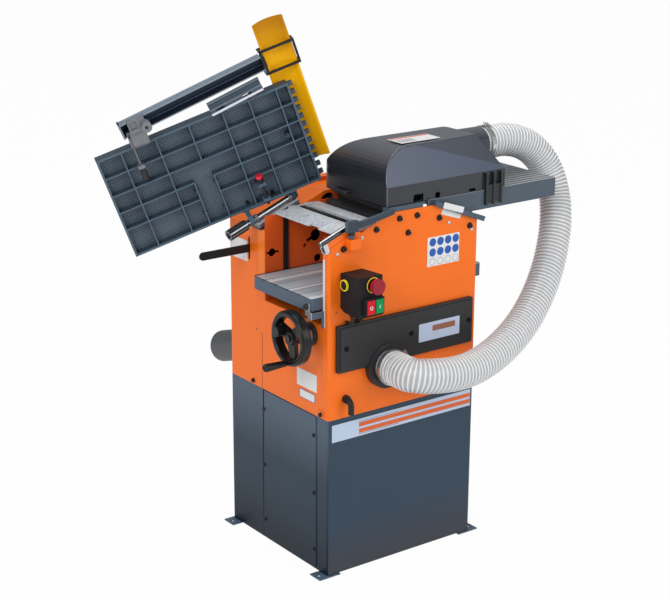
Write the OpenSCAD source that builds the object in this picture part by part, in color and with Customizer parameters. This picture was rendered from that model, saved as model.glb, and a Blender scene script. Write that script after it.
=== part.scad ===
// Combination planer thicknesser: sheet-metal stand and body, hinged infeed table,
// fixed outfeed table, rising thicknessing table, cutter head, drive and chip extraction.
// Millimetres. X runs along the feed, the switch side faces -Y, Z is up and the floor is z = 0.

/* [Cabinet and body] */
// Length of the cabinet and the body along the feed
body_l = 495; // [480:1:530]
// Width of the cabinet and the body across the feed
body_w = 462; // [450:1:490]
// Height of the base cabinet
base_h = 447; // [420:1:460]
// Thickness of the sheet metal
sheet = 2; // [1.5:0.5:3]
// Radius of the bent corners
bend_r = 8; // [4:1:12]
// Gap between the floor and the skirt of the cabinet
skirt_gap = 5; // [4:1:10]
// Height of the lower end panels above the floor
end_panel_h = 703; // [690:1:712]

/* [Floor fixing] */
// Distance between the bolt holes along X
bolt_span_x = 524; // [515:1:545]
// Distance between the bolt holes along Y
bolt_span_y = 424; // [400:1:430]
// Diameter of the floor bolt holes
bolt_hole_d = 9; // [7:0.5:11]
// Thickness of the floor brackets
bracket_t = 3; // [3:0.5:4.5]

/* [Tables] */
// Height of the planing tables above the floor
table_h = 990; // [985:1:1000]
// Clear width of the thicknessing passage
passage_w = 263; // [250:1:270]
// Width of the upright beside the passage on the switch side
near_post = 25; // [23:1:30]
// Length of the infeed table behind its lip
infeed_l = 534; // [480:1:560]
// Length of the outfeed table behind its lip
outfeed_l = 454; // [400:1:500]
// Depth of the infeed table casting
table_t = 34; // [30:1:38]
// Thickness of the table skin
skin_t = 8; // [7:0.5:10]
// Thickness of the ribs under the tables
rib_t = 4; // [4:0.5:7]
// Depth of the outfeed table's side aprons
apron_h = 52; // [48:1:53]
// Number of teeth along each table lip
lip_teeth = 12; // [8:1:14]
// Length of the lip teeth
lip_l = 15; // [10:1:16]
// Thickness of the lip teeth
lip_t = 9; // [7:0.5:11]
// Spacing of the grooves in the table tops
groove_pitch = 19; // [15:1:24]

/* [Infeed table hinge] */
// Slope of the hinge rod and of the table ways, in degrees
incline = 21.5; // [20:0.5:23]
// How far the raised infeed table has turned about the rod, in degrees
open_angle = 91; // [88:1:93]
// Diameter of the hinge rod
rod_d = 16; // [14:0.5:18]

/* [Cutter head and rollers] */
// Diameter of the cutting circle
cut_d = 66; // [60:1:68]
// Distance of the cutter axis from the middle of the body
cutter_x = 20; // [16:1:24]
// Diameter of the feed rollers
roller_d = 34; // [30:1:34]
// Distance of the feed rollers from the cutter axis
roller_gap = 54; // [53:1:56]
// Number of knives in the cutter block
knives = 3; // [2:1:4]
// Number of anti-kickback fingers
finger_count = 22; // [16:1:26]

/* [Thicknessing table] */
// Height between the cutting circle and the thicknessing table
stock_h = 144; // [130:1:155]
// Length of the thicknessing table
thick_l = 574; // [560:1:600]
// Depth of the thicknessing table's apron
thick_t = 34; // [30:1:38]
// Diameter of the lifting screws
screw_d = 20; // [18:1:22]
// Distance between the two lifting screws
screw_span = 158; // [140:1:170]

/* [Handwheel] */
// Diameter of the handwheel
wheel_d = 147; // [130:1:155]
// Width of the handwheel rim
rim_w = 30; // [24:1:34]
// Height of the handwheel axis above the floor
wheel_z = 667; // [662:1:674]
// Length of the crank handle
crank_l = 68; // [55:1:80]

/* [Guard and fence] */
// Length of the cutter guard
guard_l = 409; // [380:1:440]
// Width of the cutter guard
guard_w = 84; // [76:1:90]
// Length of the fence
fence_l = 398; // [380:1:430]
// Height of the fence
fence_h = 38; // [34:1:42]
// Depth of the fence channel
fence_d = 33; // [26:1:36]

/* [Hood and hose] */
// Length of the chip hood
hood_l = 402; // [390:1:420]
// Height of the chip hood
hood_h = 147; // [140:1:155]
// Wall of the chip hood
hood_t = 3; // [2:0.5:4]
// Outer diameter of the hose over its ribs
hose_d = 93; // [88:1:95]
// Bore of the hose
hose_bore = 84; // [78:1:86]
// Number of ribs on the hose
hose_ribs = 120; // [80:1:130]
// Outer diameter of the exhaust spigot
spigot_d = 90; // [80:1:96]
// Length of the exhaust spigot outside the body
spigot_l = 145; // [110:1:160]

/* [Controls] */
// Depth of the switch box
box_d = 80; // [74:1:90]
// Diameter of the emergency stop head
estop_d = 40; // [34:1:44]
// Length of the feed lever outside the body
lever_l = 157; // [130:1:170]

/* [Hidden] */
$fn = 48;

// Clearances
fit = 0.05;
gap = 0.5;
soft_gap = 0.3;
eps = 0.01;

// Faces of the body
x0 = -body_l / 2;
x1 = body_l / 2;
y0 = -body_w / 2;
y1 = body_w / 2;
passage_near = y0 + near_post;
passage_far = passage_near + passage_w;
mid_y = (passage_near + passage_far) / 2;

// Planing tables, closed
table_near = y0 + 5;
table_far = passage_far + 5;
table_w = table_far - table_near;
table_under = table_h - table_t;
infeed_root = cutter_x - 74;
outfeed_root = cutter_x + 56;
infeed_end = infeed_root - infeed_l;
outfeed_end = outfeed_root + outfeed_l;

// Top outline of the body
ridge_h = table_h - 14;
ridge_front = cutter_x - 67;
ridge_rear = cutter_x + 68;
slope = tan(incline);
front_top = ridge_h - (ridge_front - x0) * slope;
rear_top = ridge_h - (x1 - ridge_rear) * slope;
wall_top = table_h - apron_h - 2;
tower_top = ridge_h - sheet;
housing_y = table_far + 2;

// Cutter head
cut_r = cut_d / 2;
cutter_z = table_h - cut_r;
roller_r = roller_d / 2;
roller_z = cutter_z - cut_r + roller_r - 1;
shaft_r = 12.5;
journal_r = 8;

// Thicknessing table
thick_top = cutter_z - cut_r - stock_h;
thick_under = thick_top - 12;
screw_r = screw_d / 2;
screw_x = 30;
screw_near_y = mid_y - screw_span / 2;
screw_far_y = mid_y + screw_span / 2;
screw_l = 304;
bevel_r = 30;
bevel_face = 12;
beam_top = wheel_z - bevel_r - 23;

// Hinge rod: a point on its axis, and its direction
hinge_x = infeed_root - 140;
hinge_y = table_far + 18;
hinge_z = table_under - 4;
hinge_dir = [cos(incline), 0, sin(incline)];

// Fan and its ducts
fan_x = -66;
fan_z = 570;
duct_r = 50;
duct_t = 2;
volute_r = 88;
volute_y0 = passage_far + 31;
volute_y1 = volute_y0 + 70;
spigot_x = -180;
spigot_z = 517;
spigot_r = spigot_d / 2;

// Feed drive behind the cutter bearing
chain_y = passage_far + 28;
feed_z = roller_z - 84;

// Motor and belts
motor_x = 60;
motor_z = 190;
motor_r = 78;
cutter_belt_y = 180;
fan_belt_y = 204;
belt_w = 12;
motor_pulley_r = 45;
cutter_pulley_r = 21;
fan_pulley_r = 32;

// Hood
hood_x0 = infeed_root - 4;
hood_x1 = hood_x0 + hood_l;
hood_y0 = table_near + 2;
hood_y1 = table_far + 5;
hood_top = table_h + hood_h;
collar_z = table_h + 88;
collar_y = mid_y;
collar_x = hood_x1 + 36;

// Hose
hose_r = hose_d / 2;
hose_bore_r = hose_bore / 2;
spool_r = hose_bore_r - 1.5;
flange_face = y0 - 20;
hose_route = [
    [380, -75, 1078], [430, -75, 1078], [473, -75, 1077], [532, -77, 1062],
    [584, -84, 1028], [620, -98, 974], [630, -122, 905], [610, -152, 836],
    [570, -184, 768], [514, -218, 704], [446, -252, 650], [368, -286, 608],
    [284, -318, 580], [200, -344, 562], [122, -362, 554], [54, -370, 556],
    [-4, -368, 562], [-48, -356, 568], [-66, -334, 570], [-66, -296, 570],
    [-66, -251, 570]
];

// Switch box
box_x = -175;
box_z = 793;
box_w_back = 70;
box_w_front = 75;
box_h_back = 100;
box_h_front = 106;
box_face = y0 - box_d;

// Handwheel
wheel_y = screw_near_y;
wheel_r = wheel_d / 2;
wheel_face = x0 - 76;
wheel_back = wheel_face + rim_w;
wheel_shaft_r = 9;

// Feed lever
lever_y = passage_far + 75;
lever_z = 832;

// Solid between two corners
module block(a, b) {
    translate(a) cube(b - a);
}

// Cylinders along X and Y between two stations
module rod_x(y, z, xa, xb, r) {
    translate([xa, y, z]) rotate([0, 90, 0]) cylinder(h = xb - xa, r = r);
}

module rod_y(x, z, ya, yb, r) {
    translate([x, yb, z]) rotate([90, 0, 0]) cylinder(h = yb - ya, r = r);
}

// Outline in X and Z carried along Y
module along_y(ya, yb) {
    translate([0, yb, 0]) rotate([90, 0, 0]) linear_extrude(yb - ya) children();
}

// Outline in Y and Z carried along X
module along_x(xa, xb) {
    translate([xa, 0, 0]) rotate([90, 0, 90]) linear_extrude(xb - xa) children();
}

// Rectangle with round corners, between two corners
module round_rect(a, b, r) {
    translate([a.x + r, a.y]) square([b.x - a.x - 2 * r, b.y - a.y]);
    translate([a.x, a.y + r]) square([b.x - a.x, b.y - a.y - 2 * r]);
    for (x = [a.x + r, b.x - r], y = [a.y + r, b.y - r]) translate([x, y]) circle(r);
}

// Side outline of the body, drawn in by d on every side but the bottom
module side_outline(d, bottom) {
    drop = d / cos(incline);
    polygon([
        [x0 + d, bottom], [x1 - d, bottom],
        [x1 - d, rear_top - drop + d * slope], [ridge_rear, ridge_h - drop],
        [ridge_front, ridge_h - drop], [x0 + d, front_top - drop + d * slope]
    ]);
}

// Moves a closed table and what is on it into the raised pose
module raised() {
    translate([hinge_x, hinge_y, hinge_z]) rotate(a = -open_angle, v = hinge_dir)
        translate([-hinge_x, -hinge_y, -hinge_z]) children();
}

// Along the hinge rod: s from the point on the axis, z up along the rod
module on_rod(s) {
    translate([hinge_x, hinge_y, hinge_z] + s * hinge_dir) rotate([0, 90 - incline, 0]) children();
}

// Belt or chain loop round two wheels, in X and Z
module loop_2d(c1, r1, c2, r2, t) {
    difference() {
        hull() {
            translate(c1) circle(r1 + t, $fn = 32);
            translate(c2) circle(r2 + t, $fn = 32);
        }
        hull() {
            translate(c1) circle(r1, $fn = 32);
            translate(c2) circle(r2, $fn = 32);
        }
    }
}

// Pan-head screw with a socket, its axis along +Z and its seat at z = 0
module pan_screw(r, h) {
    difference() {
        cylinder(h = h, r1 = r, r2 = r * 0.82, $fn = 24);
        translate([0, 0, h * 0.45]) cylinder(h = h, r = r * 0.42, $fn = 6);
    }
}

// Base cabinet: a bent shell with a top deck, a seam strip and an opening on the infeed side
panel_near = y0 + 52;
panel_far = passage_far + 16;
module base_cabinet() {
    color([0.235, 0.29, 0.345]) difference() {
        translate([0, 0, skirt_gap]) linear_extrude(base_h - skirt_gap)
            round_rect([x0, y0], [x1, y1], bend_r);
        translate([0, 0, -eps]) linear_extrude(base_h - 4)
            round_rect([x0 + sheet, y0 + sheet], [x1 - sheet, y1 - sheet], bend_r - sheet);
        block([x0 - 1, panel_near + 14, 40], [x0 + sheet + 1, panel_far - 14, base_h - 40]);
        block([-30, cutter_belt_y - 16, base_h - 10], [120, fan_belt_y + 16, base_h + 1]);
        block([-100, cutter_belt_y - 4, base_h - 10], [0, fan_belt_y + 16, base_h + 1]);
        block([-60, passage_near + 20, base_h - 10], [-20, passage_far - 20, base_h + 1]);
    }
}

// Four angle brackets that stick out under the cabinet ends, each with a floor bolt hole
module floor_brackets() {
    leg_w = 46;
    color([0.42, 0.55, 0.66]) for (sx = [-1, 1], sy = [-1, 1]) {
        yc = sy * bolt_span_y / 2;
        difference() {
            union() {
                block([min(sx * (x1 - 40), sx * (bolt_span_x / 2 + 14)), yc - leg_w / 2, 0],
                      [max(sx * (x1 - 40), sx * (bolt_span_x / 2 + 14)), yc + leg_w / 2, bracket_t]);
                block([min(sx * (x1 - sheet), sx * (x1 - sheet - 3)), yc - leg_w / 2 + 12, 0],
                      [max(sx * (x1 - sheet), sx * (x1 - sheet - 3)), yc + leg_w / 2 - 12, 34]);
            }
            translate([sx * bolt_span_x / 2, yc, -1]) cylinder(h = bracket_t + 2, d = bolt_hole_d);
        }
    }
}

// Removable panel on the infeed side of the cabinet
module access_panel() {
    color([0.25, 0.31, 0.365]) along_x(x0 - sheet, x0) difference() {
        round_rect([panel_near, skirt_gap + 6], [panel_far, base_h - 2], 4);
        for (y = [panel_near + 9, panel_far - 9], z = [60, 225, base_h - 57]) {
            translate([y, z]) circle(3, $fn = 24);
        }
    }
}

// Screws of the access panel, bolts of the body's lower edge and of the switch-side panel
module panel_screws() {
    side_bolts = [
        [-202, -72], [-97, -37], [-22, -19], [36, -19], [7, -61], [111, -37], [217, -74]
    ];
    color([0.07, 0.07, 0.075]) {
        for (y = [panel_near + 9, panel_far - 9], z = [60, 225, base_h - 57]) {
            translate([x0 - sheet, y, z]) rotate([0, -90, 0]) pan_screw(5.5, 4);
        }
        for (p = [[x0 - sheet, y0 + 30], [x0, passage_far + 60]]) {
            translate([p.x, p.y, base_h + 11]) rotate([0, -90, 0]) pan_screw(6.5, 6);
        }
        for (p = side_bolts) translate([p.x, y0, ridge_h + p.y]) rotate([90, 0, 0]) {
            cylinder(h = 1.6, r = 8.5, $fn = 32);
            translate([0, 0, 1.6]) pan_screw(6.5, 6);
        }
    }
}

// Switch-side panel: flat side with bent flanges at both ends, and the boss of the clamp lever
boss_x = x0 + 64;
boss_y = y0 - 10;
boss_z = front_top + 33;
way_cover = 12;
module near_side_panel() {
    color([0.94, 0.45, 0.16]) difference() {
        union() {
            intersection() {
                translate([0, 0, base_h]) linear_extrude(ridge_h) difference() {
                    round_rect([x0, y0], [x1, y0 + 3 * near_post], bend_r);
                    round_rect([x0 + sheet, y0 + sheet], [x1 - sheet, y0 + 4 * near_post],
                               bend_r - sheet);
                    translate([x0 - 1, passage_near]) square([body_l + 2, 4 * near_post]);
                }
                along_y(y0 - 1, passage_near + 1) side_outline(0, base_h);
            }
            along_y(y0, y0 + sheet) polygon([
                [x0 + bend_r, front_top - 20], [x0 + bend_r, front_top + bend_r * slope + way_cover],
                [x0 + 90, front_top + 90 * slope + way_cover], [x0 + 104, front_top + 104 * slope],
                [x0 + 104, front_top - 20]
            ]);
            for (y = [y0 + 30]) block([x0 - sheet, y - 12, base_h + 2], [x0, y + 12, base_h + 22]);
            block([boss_x - 9.5, y0 - 20, boss_z - 28], [boss_x + 25, y0 + sheet, boss_z]);
        }
        translate([fan_x, y0 + sheet + 1, fan_z]) rotate([90, 0, 0])
            cylinder(h = 20, r = duct_r + gap);
        translate([boss_x, boss_y, boss_z - 24]) cylinder(h = 40, r = 5 + fit);
    }
}

// Closed housing over the drive on the far side, with its end faces and sloped top
seam_high = passage_far + 35;
seam_low = passage_far + 17;
module drive_housing() {
    inner = sheet;
    color([0.94, 0.45, 0.16]) difference() {
        union() {
            intersection() {
                translate([0, 0, base_h]) linear_extrude(ridge_h)
                    round_rect([x0, passage_far - 3 * bend_r], [x1, y1], bend_r);
                along_y(passage_far, y1 + 1) side_outline(0, base_h);
            }
            block([cutter_x - 44, cutter_belt_y - 16, ridge_h - 10],
                  [cutter_x + 44, cutter_belt_y + 16, cutter_z + cutter_pulley_r + 9]);
        }
        block([cutter_x - 42, cutter_belt_y - 14, ridge_h - 20],
              [cutter_x + 42, cutter_belt_y + 14, cutter_z + cutter_pulley_r + 7]);
        intersection() {
            translate([0, 0, base_h - 1]) linear_extrude(ridge_h)
                round_rect([x0 + inner, passage_far - 4 * bend_r], [x1 - inner, y1 - inner],
                           bend_r - inner);
            along_y(housing_y + inner, y1) side_outline(inner, base_h - 1);
        }
        difference() {
            block([x0 + inner, passage_far - 1, base_h - 1], [x1 - inner, housing_y + inner + eps, ridge_h + 1]);
            along_y(housing_y, housing_y + 3 * inner) intersection() {
                side_outline(0, base_h);
                translate([x0, 880]) square([body_l, 200]);
            }
        }
        block([x0 - 1, passage_far - 1, wall_top], [x1 + 1, housing_y, ridge_h + 1]);
        along_x(x0 - 1, x0 + inner + eps) polygon([
            [passage_far - 1, base_h - 1], [seam_low, base_h - 1], [seam_low, end_panel_h - 105],
            [seam_high, end_panel_h - 91], [seam_high, end_panel_h], [passage_far - 1, end_panel_h]
        ]);
        block([x1 - inner - eps, passage_far - 1, base_h - 1], [x1 + 1, seam_low, end_panel_h]);
        block([cutter_x - 37, housing_y - 1, cutter_z - 36], [cutter_x + 37, housing_y + 3, ridge_h - inner]);
        block([x0 - 1, lever_y - 4, lever_z - 31], [x0 + inner + 1, lever_y + 4, lever_z + 31]);
        for (sx = [-1, 1]) rod_y(cutter_x + sx * roller_gap, roller_z, housing_y - 1, housing_y + 3, 28);
        block([cutter_x - 45, housing_y - 1, feed_z - 50], [cutter_x + 45, housing_y + 3, feed_z + 60]);
        rod_y(spigot_x, spigot_z, y1 - 5, y1 + 1, spigot_r + 2);
    }
}

// Lower end panels between the near flange and the drive housing
module end_panels() {
    color([0.93, 0.44, 0.16]) {
        difference() {
            along_x(x0, x0 + sheet) polygon([
                [passage_near + gap, base_h], [seam_low - gap, base_h],
                [seam_low - gap, end_panel_h - 104.5], [seam_high - gap, end_panel_h - 90.5],
                [seam_high - gap, end_panel_h], [passage_near + gap, end_panel_h]
            ]);
            rod_x(wheel_y, wheel_z, x0 - 1, x0 + 5, wheel_shaft_r + 3);
        }
        block([x1 - sheet, passage_near + gap, base_h], [x1, seam_low - gap, end_panel_h]);
        block([x0, passage_near + gap, end_panel_h - sheet], [x0 + 48, passage_far - gap, end_panel_h]);
    }
}

// Outline of both inner walls, with towers that carry the cutter and the rollers
module wall_outline() {
    near_x = roller_gap + roller_r + 15;
    difference() {
        polygon([
            [x0 + sheet, base_h], [x1 - sheet, base_h], [x1 - sheet, wall_top],
            [cutter_x + near_x - 4, wall_top], [cutter_x + near_x - 4, wall_top + 19],
            [cutter_x + 40, wall_top + 19], [cutter_x + 40, tower_top],
            [cutter_x - 40, tower_top], [cutter_x - 40, wall_top + 19],
            [cutter_x - near_x, wall_top + 19], [cutter_x - near_x, wall_top],
            [x0 + sheet, wall_top]
        ]);
        translate([cutter_x, cutter_z]) circle(shaft_r + 4);
        for (sx = [-1, 1]) translate([cutter_x + sx * roller_gap, roller_z]) circle(journal_r + fit);
        translate([fan_x, fan_z]) circle(duct_r + gap);
    }
}

module near_wall() {
    color([0.8, 0.3, 0.1]) along_y(passage_near - sheet, passage_near) wall_outline();
}

// Wall between the passage and the drive, with its adjusting slots
module drive_wall() {
    color([0.8, 0.3, 0.1]) along_y(passage_far, passage_far + sheet) difference() {
        wall_outline();
        translate([-224, 833]) circle(11);
        translate([-241, 830]) square([39, 6]);
        translate([-82, 859]) circle(16);
        translate([-82, 859]) rotate(204) translate([0, -5]) square([31, 10]);
        translate([-117, 835]) circle(5);
        translate([-75, 794]) circle(11);
    }
}

// The two side walls of the passage together
module passage_walls() {
    near_wall();
    drive_wall();
}

// Upright guides of the thicknessing table, one on each wall
guide_x = -181;
guide_w = 15;
guide_t = 5;
module table_guides() {
    color([0.06, 0.06, 0.065]) for (side = [0, 1]) {
        face = side == 0 ? passage_near : passage_far - guide_t;
        difference() {
            block([guide_x - guide_w / 2, face, 660], [guide_x + guide_w / 2, face + guide_t, 928]);
            block([guide_x - 2, side == 0 ? face + 3 : face - 1, 659],
                  [guide_x + 2, side == 0 ? face + 6 : face + 2, 929]);
        }
    }
}

// Cast covers over the rollers, with the slot that the anti-kickback fingers work in
plate_z = wall_top;
plate_front = cutter_x - 232;
plate_rear = cutter_x - 90;
slot_front = cutter_x - 170;
slot_rear = cutter_x - 136;
module bridge_plates() {
    ya = passage_near - sheet;
    yb = passage_far + sheet;
    color([0.78, 0.79, 0.8]) {
        difference() {
            union() {
                along_y(ya, yb) polygon([
                    [plate_front, plate_z], [slot_front, plate_z], [slot_front, plate_z + 16],
                    [slot_front - 14, plate_z + 16], [plate_front, plate_z + 5]
                ]);
                along_y(ya, yb) polygon([
                    [slot_rear, plate_z], [plate_rear, plate_z], [plate_rear, plate_z + 15],
                    [slot_rear + 10, plate_z + 17], [slot_rear, plate_z + 17]
                ]);
                for (y = [ya, yb - 8]) block([slot_front - eps, y, plate_z], [slot_rear + eps, y + 8, plate_z + 15]);
            }
            translate([slot_front - 30, mid_y + 26, plate_z - 1]) rotate(45) cube([14, 14, 30], center = false);
            block([plate_front - 1, mid_y - 62, plate_z - 1], [plate_front + 12, mid_y - 20, plate_z + 20]);
            for (y = [ya - 1, yb - 12]) block([plate_front - 1, y, plate_z + 8], [slot_front - 20, y + 13, plate_z + 20]);
            rod_y(finger_x, finger_z, ya + 3, yb - 3, 4 + fit);
        }
        along_y(mid_y - 66, mid_y - 62) polygon([
            [plate_front + 4, plate_z + 6], [plate_front + 40, plate_z + 12],
            [plate_front + 38, plate_z + 19], [plate_front + 2, plate_z + 19]
        ]);
    }
}

// Bearing blocks of the cutter block, on the outer sides of both walls
module cutter_bearings() {
    color([0.3, 0.31, 0.33]) for (span = [[y0 + sheet, passage_near - sheet], [passage_far + sheet, passage_far + 23]]) {
        difference() {
            block([cutter_x - 35, span[0], cutter_z - 34], [cutter_x + 35, span[1], tower_top - 1]);
            rod_y(cutter_x, cutter_z, span[0] - 1, span[1] + 1, shaft_r + fit);
        }
    }
}

// Way of the infeed table on the switch side: a bent channel that carries a round bar
module near_rail() {
    bar_y = y0 + 13;
    translate([x0 - 7, bar_y, front_top + 8]) rotate([0, -incline, 0]) {
        color([0.75, 0.77, 0.79]) difference() {
            block([0, -10, -9.6], [98, 10, 17]);
            block([-1, -7, -7], [99, 7, 18]);
        }
        color([0.12, 0.12, 0.13]) difference() {
            union() {
                rod_x(0, 19, -3, 84, 8);
                block([2, -7 - eps, 8], [80, 7 + eps, 16]);
            }
            rod_x(0, 19, -4, 10, 3);
        }
    }
}

// Hinge bracket on the drive housing: sloped foot, toothed strip, centre lug and the rod
module hinge_bracket() {
    foot_y = housing_y + 2;
    color([0.7, 0.72, 0.74]) difference() {
        union() {
            translate([hinge_x, hinge_y, hinge_z]) rotate([0, -incline, 0]) {
                block([-74, foot_y - hinge_y, -foot_drop], [62, foot_y - hinge_y + 40, -12]);
                for (i = [0:8]) block([-72 + i * 6, foot_y - hinge_y - 3, -24],
                                      [-69 + i * 6, foot_y - hinge_y + eps, -12]);
                for (x = [-74, 40]) block([x, -8, -13], [x + 8, 8, 0]);
            }
            for (s = [-74, 40]) on_rod(s) cylinder(h = 8, r = rod_d / 2 + 3.5);
        }
        on_rod(-90) cylinder(h = 170, r = rod_d / 2);
    }
    color([0.85, 0.86, 0.88]) {
        on_rod(-97) cylinder(h = 167, r = rod_d / 2);
        on_rod(-125) cylinder(h = 29, r = 6);
    }
}
foot_drop = (hinge_z - (ridge_h - (ridge_front - hinge_x) * slope)) * cos(incline);

// Locking rail of the outfeed table, on the sloped edge of the switch-side panel
module rear_rail() {
    color([0.27, 0.34, 0.4]) {
        along_y(y0 - 12, table_near) polygon([
            [ridge_rear + 2, ridge_h - 2 * slope], [x1 + 10, rear_top - 10 * slope],
            [x1 + 15, rear_top - 10 * slope + 13], [ridge_rear + 2, ridge_h + 13.5]
        ]);
        block([cutter_x - 80, y0 + sheet + 0.5, tower_top + 0.5], [cutter_x + 38, passage_near - sheet - 0.5, table_h - 1]);
    }
}

// One row of lip teeth, drawn in X and Y with the root at x = 0 and pointing to +X
module lip_outline(far, w) {
    pitch = w / lip_teeth;
    for (i = [0:lip_teeth - 1]) {
        translate([-eps, far - (i + 1) * pitch + pitch * 0.27]) square([lip_l + eps, pitch * 0.5]);
    }
}

// Outfeed table: grooved top, deep aprons, ribs and a toothed lip
module outfeed_table() {
    under = table_h - apron_h;
    rows = 5;
    cols = 6;
    cell_w = (table_w - 20 - (rows - 1) * rib_t) / rows;
    cell_l = (outfeed_l - 44 - (cols - 1) * rib_t) / cols;
    grooves = floor((table_w - 20) / groove_pitch);
    color([0.33, 0.39, 0.45]) difference() {
        union() {
            block([outfeed_root, table_near, under], [outfeed_end, table_far, table_h]);
            translate([outfeed_root, 0, table_h - lip_t]) mirror([1, 0, 0])
                linear_extrude(lip_t) lip_outline(table_far, table_w);
        }
        for (i = [0:rows - 1], j = [0:cols - 1]) {
            xa = outfeed_root + 34 + j * (cell_l + rib_t);
            ya = table_near + 10 + i * (cell_w + rib_t);
            block([xa, ya, under - 1], [xa + cell_l, ya + cell_w, table_h - skin_t]);
        }
        block([outfeed_root + 34, table_near + 10, under - 1], [outfeed_end - 10, table_far - 10, under + 24]);
        block([outfeed_root - 1, table_near + 5, under - 1], [outfeed_root + 35, table_far + 1, table_h - lip_t - 3]);
        for (i = [1:grooves]) {
            y = table_near + i * table_w / (grooves + 1);
            block([outfeed_root + 8, y - 1.5, table_h - 1.5], [outfeed_end + 1, y + 1.5, table_h + 1]);
        }
    }
}

// Chip hood outline from the side, drawn in by d
function arc_points(c, r, a0, a1, n) = [for (i = [0:n]) c + r * [cos(a0 + (a1 - a0) * i / n), sin(a0 + (a1 - a0) * i / n)]];
hood_skirt = 50;
module hood_side(d) {
    polygon(concat(
        [[hood_x0 + d, table_h - eps * (d > 0 ? 1 : 0)]],
        arc_points([hood_x0 + 92, hood_top - 96], 92 - d, 180, 96, 12),
        [[hood_x1 - 80 - d * 0.4, hood_top - d], [hood_x1 - d, table_h + hood_skirt - 3],
         [hood_x1 - d, table_h - eps * (d > 0 ? 1 : 0)]]
    ));
}

// Chip hood outline from the end: upright skirts, leaning near face, rounded far shoulder
module hood_end(d) {
    polygon(concat(
        [[hood_y0 + d, table_h - 1], [hood_y0 + d, table_h + hood_skirt - d * 0.2],
         [hood_y0 + 32 + d * 0.8, hood_top - d]],
        arc_points([hood_y1 - 150, hood_top - 150], 150 - d, 90, 26, 10),
        [[hood_y1 - d, table_h + hood_skirt - 12], [hood_y1 - d, table_h - 1]]
    ));
}

// Chip hood outline from above, with its far front corner cut back for the raised table
module hood_plan(d) {
    translate([0, 0, table_h - 2]) linear_extrude(hood_h + 4) polygon(concat(
        [[hood_x0 + d, hood_y0 - 1], [hood_x1, hood_y0 - 1], [hood_x1, hood_y1 + 1]],
        arc_points([hood_x0 + 40, hood_y1 - 40], 40 - d, 90, 180, 8)
    ));
}

module chip_hood() {
    color([0.1, 0.115, 0.14]) difference() {
        union() {
            intersection() {
                along_y(hood_y0, hood_y1) hood_side(0);
                along_x(hood_x0, hood_x1) hood_end(0);
                hood_plan(0);
            }
            rod_x(collar_y, collar_z, hood_x1 - 60, collar_x, hose_r);
            rod_x(collar_y, collar_z, collar_x - 1, collar_x + 34, spool_r);
            for (i = [0:2]) translate([i * 26, 0]) {
                along_y(table_near - 7, table_near - 0.4) polygon([
                    [hood_x1 - 73, table_h - apron_h + 14], [hood_x1 - 69, table_h - apron_h + 10],
                    [hood_x1 - 67, table_h - apron_h + 10], [hood_x1 - 67, table_h + 40],
                    [hood_x1 - 73, table_h + 48]
                ]);
                block([hood_x1 - 73, table_near - 1, table_h + 0.4], [hood_x1 - 67, hood_y0 + 1, table_h + 38]);
            }
            block([hood_x1 - 73, table_near - 4, table_h - apron_h + 16], [hood_x1 - 15, table_near - 0.4, table_h + 14]);
            translate([hood_x0 - 14, mid_y + 10, table_h + 3]) linear_extrude(8)
                round_rect([0, 0], [18, 62], 8);
        }
        intersection() {
            along_y(hood_y0 + hood_t, hood_y1 - hood_t) hood_side(hood_t);
            along_x(hood_x0 + hood_t, hood_x1 - hood_t) hood_end(hood_t);
            hood_plan(hood_t);
        }
        rod_x(collar_y, collar_z, hood_x1 - 90, collar_x + 40, spool_r - 3);
        for (c = [[hood_x0 + 87, 33, 20], [hood_x0 + 160, 16, 16], [hood_x0 + 276, 22, 10]]) {
            block([c[0], hood_y0 - 2, table_h - 1], [c[0] + c[1], hood_y0 + hood_t + 1, table_h + c[2]]);
        }
        translate([hood_x0 - 9, mid_y + 15, table_h]) linear_extrude(14) round_rect([0, 0], [9, 52], 4);
    }
}

// Ring of steel round each hose end, with its screw ear
module hose_clamps() {
    ring_r = hose_r + soft_gap;
    color([0.72, 0.74, 0.76]) for (p = [0, 1]) {
        translate(p == 0 ? [collar_x + 10, collar_y, collar_z] : [fan_x, flange_face - 10, fan_z])
            rotate(p == 0 ? [0, 90, 0] : [90, 0, 0]) {
            difference() {
                cylinder(h = 12, r = ring_r + 2);
                translate([0, 0, -1]) cylinder(h = 14, r = ring_r);
            }
            turn = p == 0 ? 200 : 35;
            rotate(turn) translate([ring_r + 1.5, -12, 2]) cube([8, 24, 8]);
            rotate(turn) translate([ring_r + 5, -20, 6]) rotate([-90, 0, 0]) cylinder(h = 12, r = 3);
        }
    }
}

// Points of a smooth route through hand-chosen stations
function mix3(p, q, r, s, t) = 0.5 * (2 * q + (r - p) * t + (2 * p - 5 * q + 4 * r - s) * t * t + (3 * q - p - 3 * r + s) * t * t * t);
function route_point(pts, u) = let (
    n = len(pts) - 1, i = min(floor(u * n), n - 1), t = u * n - i
) mix3(pts[max(i - 1, 0)], pts[i], pts[i + 1], pts[min(i + 2, n)], t);
function unit(v) = v / norm(v);
function route_dir(pts, u) = unit(route_point(pts, min(u + 0.004, 1)) - route_point(pts, max(u - 0.004, 0)));

// Cumulative length of the route, for ribs that are evenly spaced
route_n = 400;
route_len = [for (i = 0, s = 0; i <= route_n; i = i + 1,
    s = s + (i <= route_n ? norm(route_point(hose_route, i / route_n) - route_point(hose_route, (i - 1) / route_n)) : 0)) s];
hose_len = route_len[route_n];
function route_u(s) = lookup(s, [for (i = [0:route_n]) [route_len[i], i / route_n]]);

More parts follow.
